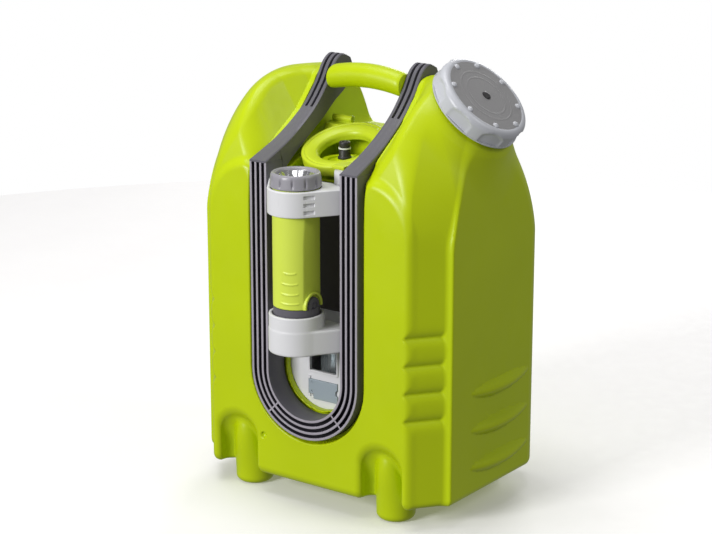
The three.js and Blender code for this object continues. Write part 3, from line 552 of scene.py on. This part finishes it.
finish("clear_plastic", srgb(225, 234, 236), 0.08, 0.03, 0.01, transmission=0.9, bump=0.02)
finish("board_green", srgb(32, 96, 52), 0.35, 0.08, 0.2)
finish("battery_wrap", srgb(30, 60, 140), 0.3, 0.08, 0.1)
finish("switch_red", srgb(150, 20, 20), 0.3, 0.06, 0.06)


def placed(obj, body, slot, *nodes, look=None):
    """Gives a piece its slot's finish or another look and its body, and hides the CAD nodes that it stands
    for.
    """
    obj.data.materials.append(FINISHES[look or slot])
    if nodes:
        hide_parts(*nodes)
    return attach(obj, body)


# -------------------- camera, lights and floor
CAMERA_AZIMUTH, CAMERA_ELEVATION = math.radians(36.04), math.radians(15.5)
CAMERA_DISTANCE = 2.26315  # metres from the target
CAMERA_TARGET = (-11.8, -8.6, 241.0)
LENS, SENSOR = 104.91, 36

LIGHTS = [  # name, place and width in metres, and power in watts
    ("key", (-0.65, -2.6, 1.2), 0.9, 58),
    ("overhead", (-0.5, -0.1, 3.2), 1.8, 46),
    ("back", (-0.9, 2.6, 1.3), 1.2, 26),
    ("side", (2.5, 0.5, 2.3), 1.0, 15),
]
LIT_POINT = (0, 0, 0.24)
SURROUND_LIGHT, SURROUND_SEEN = 0.24, 1.0
FLOOR_RADIUS = 1.5  # metres
FLOOR_GLOW = 0.13


def camera():
    azimuth, elevation = CAMERA_AZIMUTH, CAMERA_ELEVATION
    target = Vector(ORIGIN + np.array(CAMERA_TARGET) * MM)
    away = Vector((math.sin(azimuth) * math.cos(elevation), -math.cos(azimuth) * math.cos(elevation),
                   math.sin(elevation)))
    data = bpy.data.cameras.new("camera")
    data.lens = LENS
    data.sensor_width = SENSOR
    data.clip_end = 60
    obj = bpy.data.objects.new("camera", data)
    obj.location = target + away * CAMERA_DISTANCE
    obj.rotation_euler = (-away).to_track_quat("-Z", "Y").to_euler()
    bpy.context.scene.collection.objects.link(obj)
    bpy.context.scene.camera = obj


def area_light(name, place, size, power):
    data = bpy.data.lights.new(name, "AREA")
    data.size = size
    data.energy = power
    obj = bpy.data.objects.new(name, data)
    obj.location = place
    obj.rotation_euler = (Vector(LIT_POINT) - Vector(place)).to_track_quat("-Z", "Y").to_euler()
    bpy.context.scene.collection.objects.link(obj)


def studio():
    """A soft key from the front left, three weaker lights, and a white surround that lights little."""
    for light in LIGHTS:
        area_light(*light)
    world = bpy.data.worlds.new("studio")
    world.use_nodes = True
    tree = world.node_tree
    background = tree.nodes["Background"]
    background.inputs["Color"].default_value = (1, 1, 1, 1)
    seen = tree.nodes.new("ShaderNodeLightPath").outputs["Is Camera Ray"]
    strength = ramp(tree, seen, SURROUND_LIGHT, SURROUND_SEEN, 0, 1)
    tree.links.new(strength, background.inputs["Strength"])
    bpy.context.scene.world = world
    bpy.context.scene.view_settings.view_transform = "Standard"


def floor():
    """A round, faintly glowing white floor, close to the surround's white, that lights no other piece."""
    rings, sides = 40, 96
    radii = FLOOR_RADIUS * (np.arange(rings) + 1) / rings
    angles = np.arange(sides) * 2 * math.pi / sides
    points = [(0, 0, 0)] + [(r * math.cos(a), r * math.sin(a), 0.0) for r in radii for a in angles]
    faces = [(0, 1 + i, 1 + (i + 1) % sides) for i in range(sides)]
    for k in range(rings - 1):
        start = 1 + k * sides
        for i in range(sides):
            j = (i + 1) % sides
            faces.append((start + i, start + sides + i, start + sides + j, start + j))
    obj = bpy.data.objects.new("floor", new_mesh("floor", points, faces))
    bpy.context.scene.collection.objects.link(obj)
    material = finish("floor_white", (0.86, 0.85, 0.85), 0.7, 0.05, 0.01, 40.0, 0.02)
    shader = material.node_tree.nodes["Principled BSDF"]
    shader.inputs["Emission Color"].default_value = (1, 0.98, 0.97, 1)
    shader.inputs["Emission Strength"].default_value = FLOOR_GLOW
    obj.data.materials.append(material)
    obj.visible_diffuse = False
    obj.visible_glossy = False


# -------------------- tank
def corner_reach(x, y):
    """How far out a point lies the way the front corners' channels face."""
    return np.abs(x) * CORNER_FACING[0] - y * CORNER_FACING[1]


def body_field(x, y, z):
    """The tank's body before anything is cut from it: four upright walls that close into two lobes."""
    soft = eased(z, EDGES_SOFTEN, BODY_EDGE)
    front_and_side = both(dome_field(np.abs(x), z, SIDE_WALL), dome_field(-y, z, FRONT_WALL), soft)
    walls = both(front_and_side, dome_field(y, z, BACK_WALL), soft)
    channel = dome_field(corner_reach(x, y), z, FRONT_CORNER)
    corner = np.minimum(channel, joined(dome_field(-y, z, CORNER_STRIP), channel, 2.5))
    back_corner = dome_field(np.abs(x) + y, z, BACK_CORNER) / math.sqrt(2)
    walls = both(both(walls, corner, eased(z, EDGES_SOFTEN, CORNER_EDGE)), back_corner, soft)
    return both(walls, UNDERSIDE - z, UNDERSIDE_EDGE)


def neck_axes(x, y, z):
    """Distance from the neck's axis, height along it, and the level distance across it."""
    across, along = turned(x - NECK[0], z - NECK[2], -NECK_TILT)
    return np.hypot(across, y), along, across


def boss_field(radius, along):
    """The cone that carries the neck, let deep into the body."""
    cone = (radius - np.interp(along, *BOSS_RADII)) * BOSS_SLOPE
    return both(cone, between(along, *BOSS_SPAN), 3)


def bay_field(x, y, z):
    """The well for the pump module, its narrower mouth, and the seat of the frame with a lip round it."""
    well = both(slot_field(x, z, WELL_RADIUS), between(y, WELL_FRONT, WELL_BACK), 2)
    mouth = both(slot_field(x, z, MOUTH_RADIUS), y - MOUTH_BACK, 0)
    seat = both(slot_field(x, z, FRAME_OUTER + SEAT_GAP), y - FRAME_BACK - 4, 1.5)
    relief = both(slot_field(x, z, FRAME_OUTER + 5), y + BODY_HALF_DEPTH - 7, 3)
    lip = both(slot_field(x, z, FRAME_INNER - 0.4), LIP_FRONT - y, 1.2)
    lip = both(lip, z - LIP_TOP, 1)
    return np.minimum(np.minimum(well, mouth), carved(np.minimum(seat, relief), lip, 0))


ARM_TOP = curve(ARM_TOP_LINE, 6)
ARM_UNDER = curve(ARM_UNDER_LINE, 6)
NOTCH_FLOOR = np.array([(-220, 357.4), (-91, 357.4), (2, 390.4), (14, 390.4), (18, 382), (220, 382)])
VALLEY = np.array([(-220, 374), *ARM_TOP_LINE, (220, 464)], float)


def arm_half_width(y):
    """The frame's arms narrow from its front towards their slotted tops."""
    return np.interp(y, [FRAME_FRONT, ARM_SLOTS_FROM], [FRAME_OUTER, ARM_OUTER])


def seat_field(x, y, z):
    """The seats of the frame's arms, cut along the inner sides of the lobes."""
    arm = both(above(ARM_TOP, y, z) - SEAT_GAP, -above(ARM_UNDER, y, z) - SEAT_GAP, 0)
    arm = both(arm, y - ARM_UNDER_LINE[-1][0], 0)
    outside = np.abs(x) - arm_half_width(y) - SEAT_GAP
    return both(arm, np.maximum(outside, FRAME_INNER - SEAT_GAP - np.abs(x)), 0)


def gap_fields(x, y, z):
    """The open space between the lobes: the valley that climbs to their crowns, and the notch inside."""
    climb = VALLEY_CLIMB * np.maximum(np.abs(x) - FRAME_OUTER - 2, 0)
    drop = VALLEY_DROP * step(-y, *VALLEY_DROPS)
    valley = -above(VALLEY, y, z + drop - climb)
    valley = both(both(valley, y - VALLEY_BACK, 6), np.abs(x) - VALLEY_HALF_WIDTH, 10)
    notch = both(-above(NOTCH_FLOOR, y, z), np.abs(x) - BAY_HALF_WIDTH, 7)
    return valley, notch


def recess_field(x, y, z):
    """An arched scoop in the front and rear faces over each foot, deepest at the bottom."""
    aside, above_arch = np.abs(x) - FOOT_X, z - SCOOP_ARCH_Z
    arch = np.where(above_arch > 0, np.hypot(aside, above_arch), np.abs(aside)) - SCOOP_RADIUS
    depth = eased(z, SCOOP_HEIGHTS, SCOOP_DEPTHS)
    return both(arch, BODY_HALF_DEPTH - depth - np.abs(y), 12)


def foot_field(x, y, z):
    """A round foot whose domed top leans out into its scoop."""
    lean = FOOT_LEAN * step(z, *FOOT_LEANS)
    radius = np.hypot(np.abs(x) - FOOT_X, np.abs(y) - FOOT_Y - lean)
    return both(dome_field(radius, z, FOOT), -z, 7)


def corner_grooves(x, y, z):
    """Four cusps across each front corner, with the wall swelling between them like cushions."""
    away = np.hypot(min_distance(z, CORNER_GROOVES), 1.0)
    share = 1 - away / GROOVE_REACH
    depth = GROOVE_DEPTH * (1 - np.sqrt(np.clip(1 - share ** 2, 0, 1))) * (away < GROOVE_REACH)
    corner = corner_reach(x, y) - FRONT_CORNER.out
    return both(-(corner + depth), y + CORNER_STRIP.out, 1.5)


def leaves(x, y, z):
    """Height of three leaf-shaped swellings low on the right side, lower at their middles."""
    reach = np.clip(1 - ((y - LEAF_Y) / LEAF_HALF_LENGTH) ** 2, 0, 1)
    half_height = np.maximum(LEAF_HALF_HEIGHT * reach ** 0.6, 0.3)
    swell = 0.0
    for middle in LEAF_MIDDLES:
        share = (z - middle + LEAF_SAG * reach) / half_height
        swell = swell + LEAF_SWELL * np.clip(1 - share ** 2, 0, 1) ** 1.1 * reach
    return swell * step(x, *LEAF_SIDE)


def front_panels(x, y, z):
    """Flat raised panels either side of the bay, each with an arched top."""
    u = np.maximum(np.abs(x) - PANEL_ARCH[0], 0) / PANEL_ARCH_SIZE[0]
    v = np.maximum(z - PANEL_ARCH[1], 0) / PANEL_ARCH_SIZE[1]
    return both((np.hypot(u, v) - 1) * PANEL_ARCH_SCALE, -y - BODY_HALF_DEPTH, 5)


def hinge_lugs(x, y, z):
    """Lugs either side of each of the lid's hinge arms."""
    shape = outline_field([(3, 380), (16, 380), (13, 394), (10, 397.2), (6, 397.2), (3, 393)], y, z)
    outer, inner = (both(shape, between(np.abs(x), *span), 0.6) for span in HINGE_LUGS)
    return np.minimum(outer, inner)


def thread_height(across, y, along):
    """Height of the neck's thread, faded out at both of its ends."""
    turn = np.arctan2(y, across) / (2 * math.pi) + along / THREAD_PITCH
    wave = np.abs(turn - np.round(turn)) * 2
    return THREAD_HEIGHT * step(-wave, -0.6, -0.25) * step(-along, *THREAD_TOP) * step(along, *THREAD_END)


def tank_field(x, y, z):
    body = body_field(x, y, z)
    radius, along, across = neck_axes(x, y, z)
    boss = boss_field(radius, along)
    valley, notch = gap_fields(x, y, z)
    panel = both(both(front_panels(x, y, z), y - PANEL_BACK, 0), UNDERSIDE - z, UNDERSIDE_EDGE)
    outside = joined(body, panel, 7) - leaves(x, y, z)
    outside = carved(outside, corner_grooves(x, y, z), 1.5)
    outside = carved(outside, recess_field(x, y, z), 7)
    outside = joined(outside, boss, 16)
    outside = joined(outside, foot_field(x, y, z), 2.5)
    outside = carved(outside, valley, eased(z, VALLEY_SHARPENS, VALLEY_EDGE))
    outside = carved(outside, notch, 6)
    outside = carved(outside, seat_field(x, y, z), 0.8)
    outside = carved(outside, bay_field(x, y, z), 2)
    dimple = np.hypot(np.hypot(x - DIMPLE[0], y - DIMPLE[1]), z - DIMPLE[2]) - DIMPLE_RADIUS
    outside = joined(carved(outside, dimple, 1), hinge_lugs(x, y, z), 0.6)
    neck = both(radius - NECK_OUTER - thread_height(across, y, along), between(along, *NECK_SPAN), 1)
    throat = both(radius - NECK_BORE, THROAT_FLOOR - along, 0)
    return carved(joined(outside, neck, 2), np.minimum(outside + WALL, throat), 1)


def tank():
    pitch = 2.0
    obj = moulded("tank_body", tank_field, (-162, -115, -1), (208, 115, 474), pitch, 0.5)
    placed(obj, "base", "lime_plastic", "tank_shell")


# -------------------- frame and handle
def on_slot(radius, angle, z, y):
    """A point at a radius from the bay's centre line: level with z on the straights, by angle below."""
    return (radius * math.cos(angle), y, z + radius * math.sin(angle))


def rib_profile():
    """Radius and depth around the frame's section: four ribs with three deep grooves between them."""
    ribs, rib, groove, depth, draft = 4, 2.7, 3.78, 8, 0.3
    points = [(FRAME_INNER, FRAME_BACK)]
    for k in range(ribs):
        start = FRAME_INNER + k * (rib + groove)
        end = start + rib
        points += [(start, FRAME_FRONT), (end, FRAME_FRONT)]
        if k < ribs - 1:
            floor_y = FRAME_FRONT + depth
            points += [(end + draft, floor_y), (end + groove - draft, floor_y)]
    return rounded(points + [(FRAME_OUTER, FRAME_BACK)], 0.55)


def frame_loop():
    """The ribbed loop: down one side of the bay, round its lower end and up the other side."""
    profile = rib_profile()
    stations = [(math.pi, z) for z in np.linspace(LOOP_TOP, BAY_ARC_Z, 12)]
    stations += [(angle, BAY_ARC_Z) for angle in np.linspace(math.pi, 2 * math.pi, 73)[1:]]
    stations += [(2 * math.pi, z) for z in np.linspace(BAY_ARC_Z, LOOP_TOP, 12)[1:]]
    return swept([[on_slot(r, angle, z, y) for r, y in profile] for angle, z in stations])


def frame_divider(angle):
    """A thin rib across the grooves."""
    out, along = (math.cos(angle), math.sin(angle)), (-math.sin(angle), math.cos(angle))
    inner, outer, half = FRAME_INNER + 1, FRAME_OUTER - 1, 0.9
    corners = [(inner, -half), (outer, -half), (outer, half), (inner, half)]
    section = [(out[0] * r + along[0] * w, BAY_ARC_Z + out[1] * r + along[1] * w) for r, w in corners]
    return swept([[(x, y, z) for x, z in section] for y in (FRAME_FRONT + 0.4, FRAME_FRONT + 9)])


def frame_arm(side):
    """An arm from the frame's front up to the handle, with two slots along the rear of its top."""
    count, edge, slot_depth = 60, 1.0, 7.0
    slots = ((0.215, 0.39), (0.61, 0.785))     # shares of the arm's width
    under = [(FRAME_FRONT, LOOP_TOP - 0.2), (FRAME_BACK, LOOP_TOP - 0.4), *curve(ARM_UNDER_LINE, 5)]
    top = resampled(curve(ARM_TOP_LINE, 6), count)
    under = resampled(under, count)
    rows = []
    for (ty, tz), (uy, uz) in zip(top, under):
        down = np.array((uy - ty, uz - tz))
        length = np.linalg.norm(down)
        depth = min(slot_depth if ty > ARM_SLOTS_FROM else 0.03, length * 0.6)
        width = arm_half_width(ty) - FRAME_INNER
        profile = [(0, length), (0, edge), (edge / width, 0)]
        for a, b in slots:
            profile += [(a, 0), (a + 0.01, depth), (b - 0.01, depth), (b, 0)]
        profile += [(1 - edge / width, 0), (1, edge), (1, length)]
        row = []
        for across, deep in profile:
            y, z = np.array((ty, tz)) + down / length * deep
            row.append((side * (FRAME_INNER + across * width), y, z))
        rows.append(row if side < 0 else row[::-1])
    return swept(rows)


def handle_bolt(side):
    """A bolt through the arm into the handle's end, its head let into the arm."""
    shank = [(0, 31), (2.6, 31), (3, 31.6), (3, 60.5)]
    head = [(6.2, 60.6), (6.4, 61), (6.4, 64.4), (6, 64.9), (0, 64.9)]
    points, faces = lathe(shank + head, 32)
    lying = np.stack([side * points[:, 2], points[:, 1] + BOLT_Y, points[:, 0] + BOLT_Z], 1)
    return lying, faces


def paint(obj, look, chosen):
    """Another finish on the faces whose middles, in design millimetres, are chosen; the frame takes painted
    shade in its grooves and painted light on its ribs' fronts this way.
    """
    obj.data.materials.append(FINISHES[look])
    for face in obj.data.polygons:
        if chosen(*((np.array(face.center) - ORIGIN) / MM)):
            face.material_index = len(obj.data.materials) - 1


def in_groove(x, y, z):
    """Whether a point of the loop lies in one of its grooves, whose faces take painted shade."""
    radius = abs(x) if z > BAY_ARC_Z else math.hypot(x, z - BAY_ARC_Z)
    deep = z < LOOP_TOP - 0.1 and y > FRAME_FRONT + 1.4
    return deep and FRAME_INNER + 2.2 < radius < FRAME_OUTER - 2.2


def on_rib(x, y, z):
    """Whether a point lies on the ribs' front faces, which take a painted highlight: a lighter copy of the
    frame's grey where the key light falls.
    """
    return z < LOOP_TOP - 0.1 and y < FRAME_FRONT + 1.2


def bay_frame():
    parts = [frame_loop(), frame_divider(math.radians(225)), frame_divider(math.radians(315)),
             frame_arm(-1), frame_arm(1)]
    obj = new_object("ribbed_frame", parts, crease=32)
    placed(obj, "base", "frame_grey", "bay_frame")
    # painted shade: the loop's grooves take a dark copy of the frame's grey
    paint(obj, "groove_painted_shade", in_groove)
    # painted light: the ribs' front faces take a lighter copy of the frame's grey
    paint(obj, "rib_front_painted_light", on_rib)
    for side, name in ((-1, "left"), (1, "right")):
        bolt = new_object("handle_bolt_body_" + name, [handle_bolt(side)])
        placed(bolt, "base", "steel", "handle_bolt_" + name)


def handle():
    """A slightly arched bar whose ends draw in where they meet the frame."""
    drawn_in_from, drawn_in_over, drawn_in_share = 41.5, 6.2, 0.16
    angles = np.arange(64) * 2 * math.pi / 64
    rows = []
    for x in np.concatenate([[-HANDLE_HALF], np.linspace(-45.5, 45.5, 61), [HANDLE_HALF]]):
        near_end = max(0.0, abs(x) - drawn_in_from) / drawn_in_over
        radius = HANDLE_RADIUS * (1 - drawn_in_share * (1 - math.sqrt(max(0.0, 1 - near_end ** 2))))
        z = HANDLE_Z - HANDLE_ARCH * (abs(x) / HANDLE_HALF) ** 2
        ring = [(HANDLE_Y + radius * math.cos(a), z + 0.97 * radius * math.sin(a)) for a in angles]
        rows.append([(x, *point) for point in ring])
    placed(new_object("grip_bar", [swept(rows)]), "base", "lime_plastic", "carry_handle")


# -------------------- filler cap
def cap_shell_shape(radius, height, angle):
    """Eight finger scoops with arched tops, let into the skirt above its bottom lip."""
    if radius < 51.5 or height < CAP_LIP_Z:
        return radius, height
    pitch = 2 * math.pi / CAP_GRIPS
    across = abs((angle - CAP_FIRST_GRIP + pitch / 2) % pitch - pitch / 2) / CAP_GRIP_HALF_ANGLE
    top = CAP_GRIP_TOP - CAP_GRIP_ARCH * min(1.0, across) ** 2
    share = max(0.0, 1 - across ** 2) * min(1.0, max(0.0, (top - height) / 3.5))
    return radius - CAP_GRIP_DEPTH * math.sqrt(share), height


def cap_shell():
    """The cap without its face: a rounded rim, the skirt with a lip at its bottom, and their inside."""
    skirt = [(CAP_SKIRT, -5.8 - 0.9 * k) for k in range(15)]
    rim = [(45.0, -0.5), (46.4, -0.2), (48.3, -0.5), (50.2, -1.4), (51.6, -2.7), (52.6, -4.2)]
    lip = [(CAP_SKIRT, CAP_LIP_Z), (53.4, -19.5), (53.4, -20.6), (52.9, -21.2), (50.8, -21.2)]
    inside = [(50.4, -20.4), (50.4, -4.9), (45.0, -3.8)]
    return lathe(rim + skirt + lip + inside, 288, shape=cap_shell_shape)


def cap_face():
    """The cap's round face with two low rings, and a hole in its middle."""
    gap, ring_height = CAP_RINGS[1] - CAP_RINGS[0], 0.2
    surface = []
    for r in np.linspace(CAP_FACE_HOLE, CAP_FACE_RADIUS, 84):
        near_ring = CAP_RINGS[0] - gap / 2 < r < CAP_RINGS[1] + gap / 2
        wave = max(0.0, math.cos((r - CAP_RINGS[0]) * 2 * math.pi / gap)) ** 6
        surface.append((r, CAP_FACE_Z + ring_height * wave * near_ring))
    return lathe([(CAP_FACE_HOLE, CAP_BACK_Z), *surface, (CAP_FACE_RADIUS, CAP_BACK_Z)], 144)


def cap_bump(angle):
    """A round button on the cap near its rim."""
    profile = [(0, 1.5), (1.4, 1.4), (2.5, 1.0), (3.2, 0.4), (3.5, -0.4), (3.5, -2), (0, -2)]
    points, faces = lathe(profile, 32)
    middle = (CAP_BUTTONS_AT * math.cos(angle), CAP_BUTTONS_AT * math.sin(angle), -0.3)
    return points + np.array(middle), faces


def cap():
    shell = new_object("cap_shell", [cap_shell()], NECK_FRAME, 50)
    placed(shell, "cap", "cap_silver", "filler_cap")
    # the face takes painted shade: a darker copy of the cap's silver
    placed(new_object("cap_face", [cap_face()], NECK_FRAME), "cap", "cap_silver", look="cap_face_painted_shade")
    bumps = [cap_bump(CAP_FIRST_GRIP + k * 2 * math.pi / CAP_GRIPS) for k in range(CAP_GRIPS)]
    placed(new_object("cap_buttons", bumps, NECK_FRAME), "cap", "cap_silver")


# -------------------- lid over the bay
def lid_field(x, y, z):
    """A thick tilted ring that slopes to its hole, with a groove, two hinge arms behind and a thumb tab."""
    v, w = turned(y - LID_CENTRE[0], z - LID_CENTRE[1], LID_TILT)
    radius = np.hypot(x, v)
    ring = both(between(radius, LID_HOLE, LID_OUTER), between(w, *LID_LEVELS), 2.2)
    ring = both(ring, (w + LID_DISH - (radius - LID_HOLE) * LID_SLOPE) * 0.88, 3)
    ring = carved(ring, np.hypot(radius - LID_GROOVE[0], w - LID_GROOVE[1]) - 1.1, 0.4)
    arm_span = between(np.abs(x), *HINGE_ARMS)
    arm = outline_field([(11.4, 393), (8, 397.2), (-12, 397.2), (-16, 388), (8, 389.6)], y, z)
    arm = both(arm, arm_span, 1.2)
    arm = np.minimum(arm, both(np.hypot(y - HINGE[0], z - HINGE[1]) - 4.2, arm_span, 0.8))
    tab = block(x, y, z, (24, 40), (-101, -76), (372.4, 376.4), 1)
    arm, tab = (both(piece, LID_OUTER - 3 - radius, 0) for piece in (arm, tab))
    roll = both(np.hypot(y - 2.5, z - 401.6) - 3.7, between(np.abs(x), 24, 50), 1)
    arm = joined(arm, roll, 2)
    return joined(joined(ring, arm, 1.5), tab, 1.5)


def lid():
    obj = moulded("lid_ring", lid_field, (-52, -102, 358), (52, 14, 407), 1.0)
    placed(obj, "lid", "lime_plastic", "bay_lid", look="lid_lime_plastic")


# -------------------- holders of the handset
def holder_plan(x, y, ring):
    """A round socket in front that widens to the frame's walls behind."""
    _, inward = turned(np.abs(x), y - HANDSET_Y, HOLDER_LEAN)
    flare = np.maximum(np.maximum(-inward - ring, np.abs(x) - HOLDER_SIDE), y - HOLDER_BACK)
    flare = np.maximum(flare, HANDSET_Y - 15 - y)
    return np.minimum(flare, np.hypot(x, y - HANDSET_Y) - ring)


def clip_field(x, y, z):
    """The upper holder: a band round the handset, with three notches in its right front."""
    band = both(holder_plan(x, y, CLIP_RADIUS), between(z, CLIP_LOW, CLIP_HIGH), 1.2)
    band = carved(band, np.hypot(x, y - HANDSET_Y) - CLIP_BORE, 0.8)
    along, inward = turned(x, y - HANDSET_Y, HOLDER_LEAN)
    for middle in CLIP_NOTCHES:
        span = (middle - NOTCH_HALF, middle + NOTCH_HALF)
        notch = block(-inward, along, z, (27.6, 33), (-1, 11), span, 0.3)
        band = carved(band, notch, 0.3)
    return band


def cup_field(x, y, z):
    """The lower holder: a block with a round cup through it that stands higher."""
    radius = np.hypot(x, y - HANDSET_Y)
    block_part = both(holder_plan(x, y, CUP_RADIUS), between(z, CUP_LOW, CUP_SHOULDER), 2.0)
    ring = both(radius - CUP_RADIUS, between(z, CUP_LOW, CUP_HIGH), 1.2)
    bore = both(radius - CUP_BORE, CUP_FLOOR - z, 1)
    return carved(joined(block_part, ring, 1.5), bore, 0.8)


def holders():
    cup = moulded("handset_cup", cup_field, (-49, -162, 178), (49, -94, 224), 1.0)
    placed(cup, "base", "light_grey", "lower_cup")
    clip = moulded("handset_clip", clip_field, (-49, -162, 327), (49, -94, 358), 0.9)
    placed(clip, "base", "light_grey", "upper_clip")


# -------------------- handset
def barrel_field(x, y, z):
    """The handset's tube: flat-sided, with curved ridges low on its front and a lip round the knob."""
    radius, lean = np.hypot(x, y - HANDSET_Y), np.arctan2(x, -(y - HANDSET_Y))
    off = lean - BARREL_RIDGES_AT
    ridges = 0.0
    for height, half in BARREL_RIDGES:
        line = height - RIDGE_SAG * (1 - (off / half) ** 2)
        ends = step(-np.abs(off), -half, -half * 0.7)
        ridges = ridges + RIDGE_HEIGHT * np.exp(-((z - line) / RIDGE_WIDTH) ** 2) * ends
    tube = radius - BARREL_RADIUS + 0.3 - ridges
    tube = both(tube, np.abs(x) - eased(z, BARREL_WIDENS, BARREL_FLATS), 0.7)
    ring = np.hypot(y - HANDSET_Y, z - KNOB_Z)
    lip = both(np.abs(ring - KNOB_LIP) - 1.5, between(x, 15, 23.2), 0.9)
    tube = joined(tube, lip, 0.8)
    tube = carved(tube, both(ring - KNOB_WELL, 19.4 - x, 0), 0.4)
    tube = both(tube, between(z, BARREL_LOW, BARREL_HIGH), 0.8)
    return carved(tube, radius - BARREL_BORE, 0)


def scallops(radius, height, angle):
    """Twelve flutes round the collar, deepest half way up."""
    if radius < 22:
        return radius, height
    narrow = max(0.0, 1 - abs(math.sin(6 * angle)) * 2.6)
    share = min(1, max(0, (height - 357.5) / 11.5))
    return radius - narrow * 1.7 * max(0.0, math.sin(math.pi * share)), height


def collar():
    wall = [(26.3, 356.7), (27.0, 357.6)] + [(27.0 - 0.09 * k, 358.6 + k) for k in range(10)]
    rim = [(25.9, 369.6), (25.2, 371.2), (24.2, 372), (22.6, 372), (21.2, 371.4), (20, 369.6)]
    return lathe(wall + rim + [(20, 356.7)], 192, (0, HANDSET_Y, 0), scallops)


def dish_shape(radius, height, angle):
    """Twelve shallow facets round the dish."""
    wave = 0.35 * math.cos(12 * angle) * (radius - 8) / 12 if 9 < radius < 19 else 0
    return radius, height + wave


def dish():
    front = [(8.6, 357.7), (10, 357.8), (12, 359.2), (14, 360.9), (16, 362.9), (18, 365.2), (19.6, 367.2)]
    back = [(19.7, 368.6), (18.7, 368.6), (8.6, 356.2)]
    return lathe(front + back, 144, (0, HANDSET_Y, 0), dish_shape)


def knob_shape(radius, height, angle):
    """Grip ridges round the rim."""
    return (radius - 0.35 * (1 + math.cos(20 * angle)) if radius > 8.5 else radius), height


def rectangle(a, b, z):
    return [(-a, -b, z), (a, -b, z), (a, b, z), (-a, b, z)]


def knob():
    """A flat round knob with a hub and a bar across it."""
    face = [(0, 4.3), (2.6, 4.3), (2.9, 3.7), (4.4, 3.7), (4.7, 4.5), (8.0, 4.5)]
    rim = [(9.0, 4.0), (9.5, 3.2), (9.5, 0.4), (9.0, 0), (0, 0)]
    bar = swept([rectangle(7.6, 1.1, 3.9), rectangle(7.2, 0.8, 4.7)])
    return [lathe(face + rim, 120, shape=knob_shape), bar]


KNOB_FRAME = turned_frame(math.pi / 2, (19.0, HANDSET_Y, KNOB_Z))


def handset_base():
    """The handset's foot, in the cup: nearly straight, with a fine groove near its top."""
    body = [(0, 186.2), (21, 186.2), (23.4, 186.9), (24.4, 189), (24.6, 192), (24.6, 220), (24.2, 221)]
    top = [(24.6, 222), (24.6, 229.5), (20, 229.6), (0, 229.6)]
    return lathe(body + top, 96, (0, HANDSET_Y, 0))


def handset():
    grip = moulded("handset_grip", barrel_field, (-26.5, -156.5, 228), (26.5, -103.5, 358), 0.9)
    foot = new_object("handset_foot", [handset_base()])
    ring = new_object("scalloped_collar", [collar()], crease=60)
    mirror = new_object("chrome_dish", [dish()], crease=60)
    turner = new_object("ridged_knob", knob(), KNOB_FRAME)
    placed(grip, "handset", "lime_plastic", "handset_barrel", look="lime_light_plastic")
    placed(foot, "handset", "frame_grey", "handset_base")
    placed(ring, "nozzle", "frame_grey", "nozzle_collar", look="collar_grey")
    placed(mirror, "nozzle", "chrome", "nozzle_dish")
    placed(turner, "knob", "frame_grey", "flow_knob")


# -------------------- pump module
def cover_field(x, y, z):
    """The module's top cover, with a round dish in a raised boss and the nipple's seat in its middle."""
    radius = np.hypot(x, y - NIPPLE_Y)
    boss_span = between(z, 353, NIPPLE_FLOOR)
    plate = block(x, y, z, (-46.9, 46.9), (MODULE_FRONT, -1.4), (MODULE_TOP + 0.2, 355.2), 1.2)
    boss = both(radius - 25, boss_span, 2.5)
    boss = carved(boss, both(radius - 17.5, NIPPLE_FLOOR - 2.2 - z, 0), 1)
    boss = joined(boss, both(radius - 9, boss_span, 1), 1)
    return carved(joined(plate, boss, 2), radius - 5.4, 0)


def nipple():
    """The barbed outlet: a flange, a shank with a waist, and a collar at its mouth."""
    flange = [(2.6, 370.2), (7.4, 370.2), (7.4, 372.4), (6.4, 373)]
    shank = [(6.3, 379.6), (5.0, 380.0), (5.0, 382.6), (6.2, 382.9)]
    mouth = [(6.2, 387.6), (5.3, 388.8), (3.2, 389), (2.6, 388.2)]
    return lathe(rounded(flange + shank + mouth, 0.3), 64, (0, NIPPLE_Y, 0))


def flap_field(x, y, z):
    """The socket flap: a thin plate with a stepped corner, a finger notch and two dots by its hinge."""
    plate = block(x, y, z, (-20.6, 18), (-83.8, -81.8), (110, 132), 0.6)
    plate = carved(plate, both(x + 14.2, z - 115.6, 0), 0.6)
    plate = carved(plate, np.hypot(x - 19.4, z - 121) - 4, 0.5)
    dots = np.hypot(x + 15.6, min_distance(z, (128.6, 118.6))) - 1.0
    return carved(plate, both(dots, y + 83.2, 0), 0.2)


def bezel_field(x, y, z):
    """A raised rim round the strainer's window."""
    rim = both(between(x, -21, 19), between(z, 140, 168), 2)
    hole = both(between(x, -18.6, 16.6), between(z, 142.4, 165.6), 1)
    return both(carved(rim, hole, 0.4), between(y, -84, -82.4), 0.5)


def dark_panel_field(x, y, z):
    """A dark cover over the module's front, behind the handset."""
    return both(both(np.abs(x) - 43.6, between(z, 214, 326), 3), between(y, -84.2, -82.4), 0.6)


def module():
    cover = moulded("nipple_cover", cover_field, (-48, -84, 350), (48, 0, 372), 1.0)
    placed(cover, "base", "lime_plastic", "module_top_cover")
    placed(new_object("hose_nipple", [nipple()]), "base", "dark_plastic", "outlet_nipple")
    flap = moulded("pale_flap", flap_field, (-22, -85, 109), (20, -80, 134), 0.6)
    placed(flap, "flap", "pale_blue", "socket_flap")
    rim = moulded("window_rim", bezel_field, (-22, -85, 139), (20, -82, 169), 0.6)
    placed(rim, "base", "light_grey")
    panel = moulded("dark_panel", dark_panel_field, (-45, -85, 213), (45, -82, 327), 0.8, 0.4)
    placed(panel, "base", "dark_plastic", look="panel_dark")


def dress_cad_nodes():
    """CAD nodes whose shape already is right keep it and take a full material."""
    for part in frame["record"]["subparts"]:
        mesh = frame["nodes"][part["node"]].data
        mesh.materials.clear()
        mesh.materials.append(FINISHES[part["material_slot"]])


camera()
studio()
floor()
tank()
bay_frame()
handle()
cap()
lid()
holders()
handset()
module()
dress_cad_nodes()
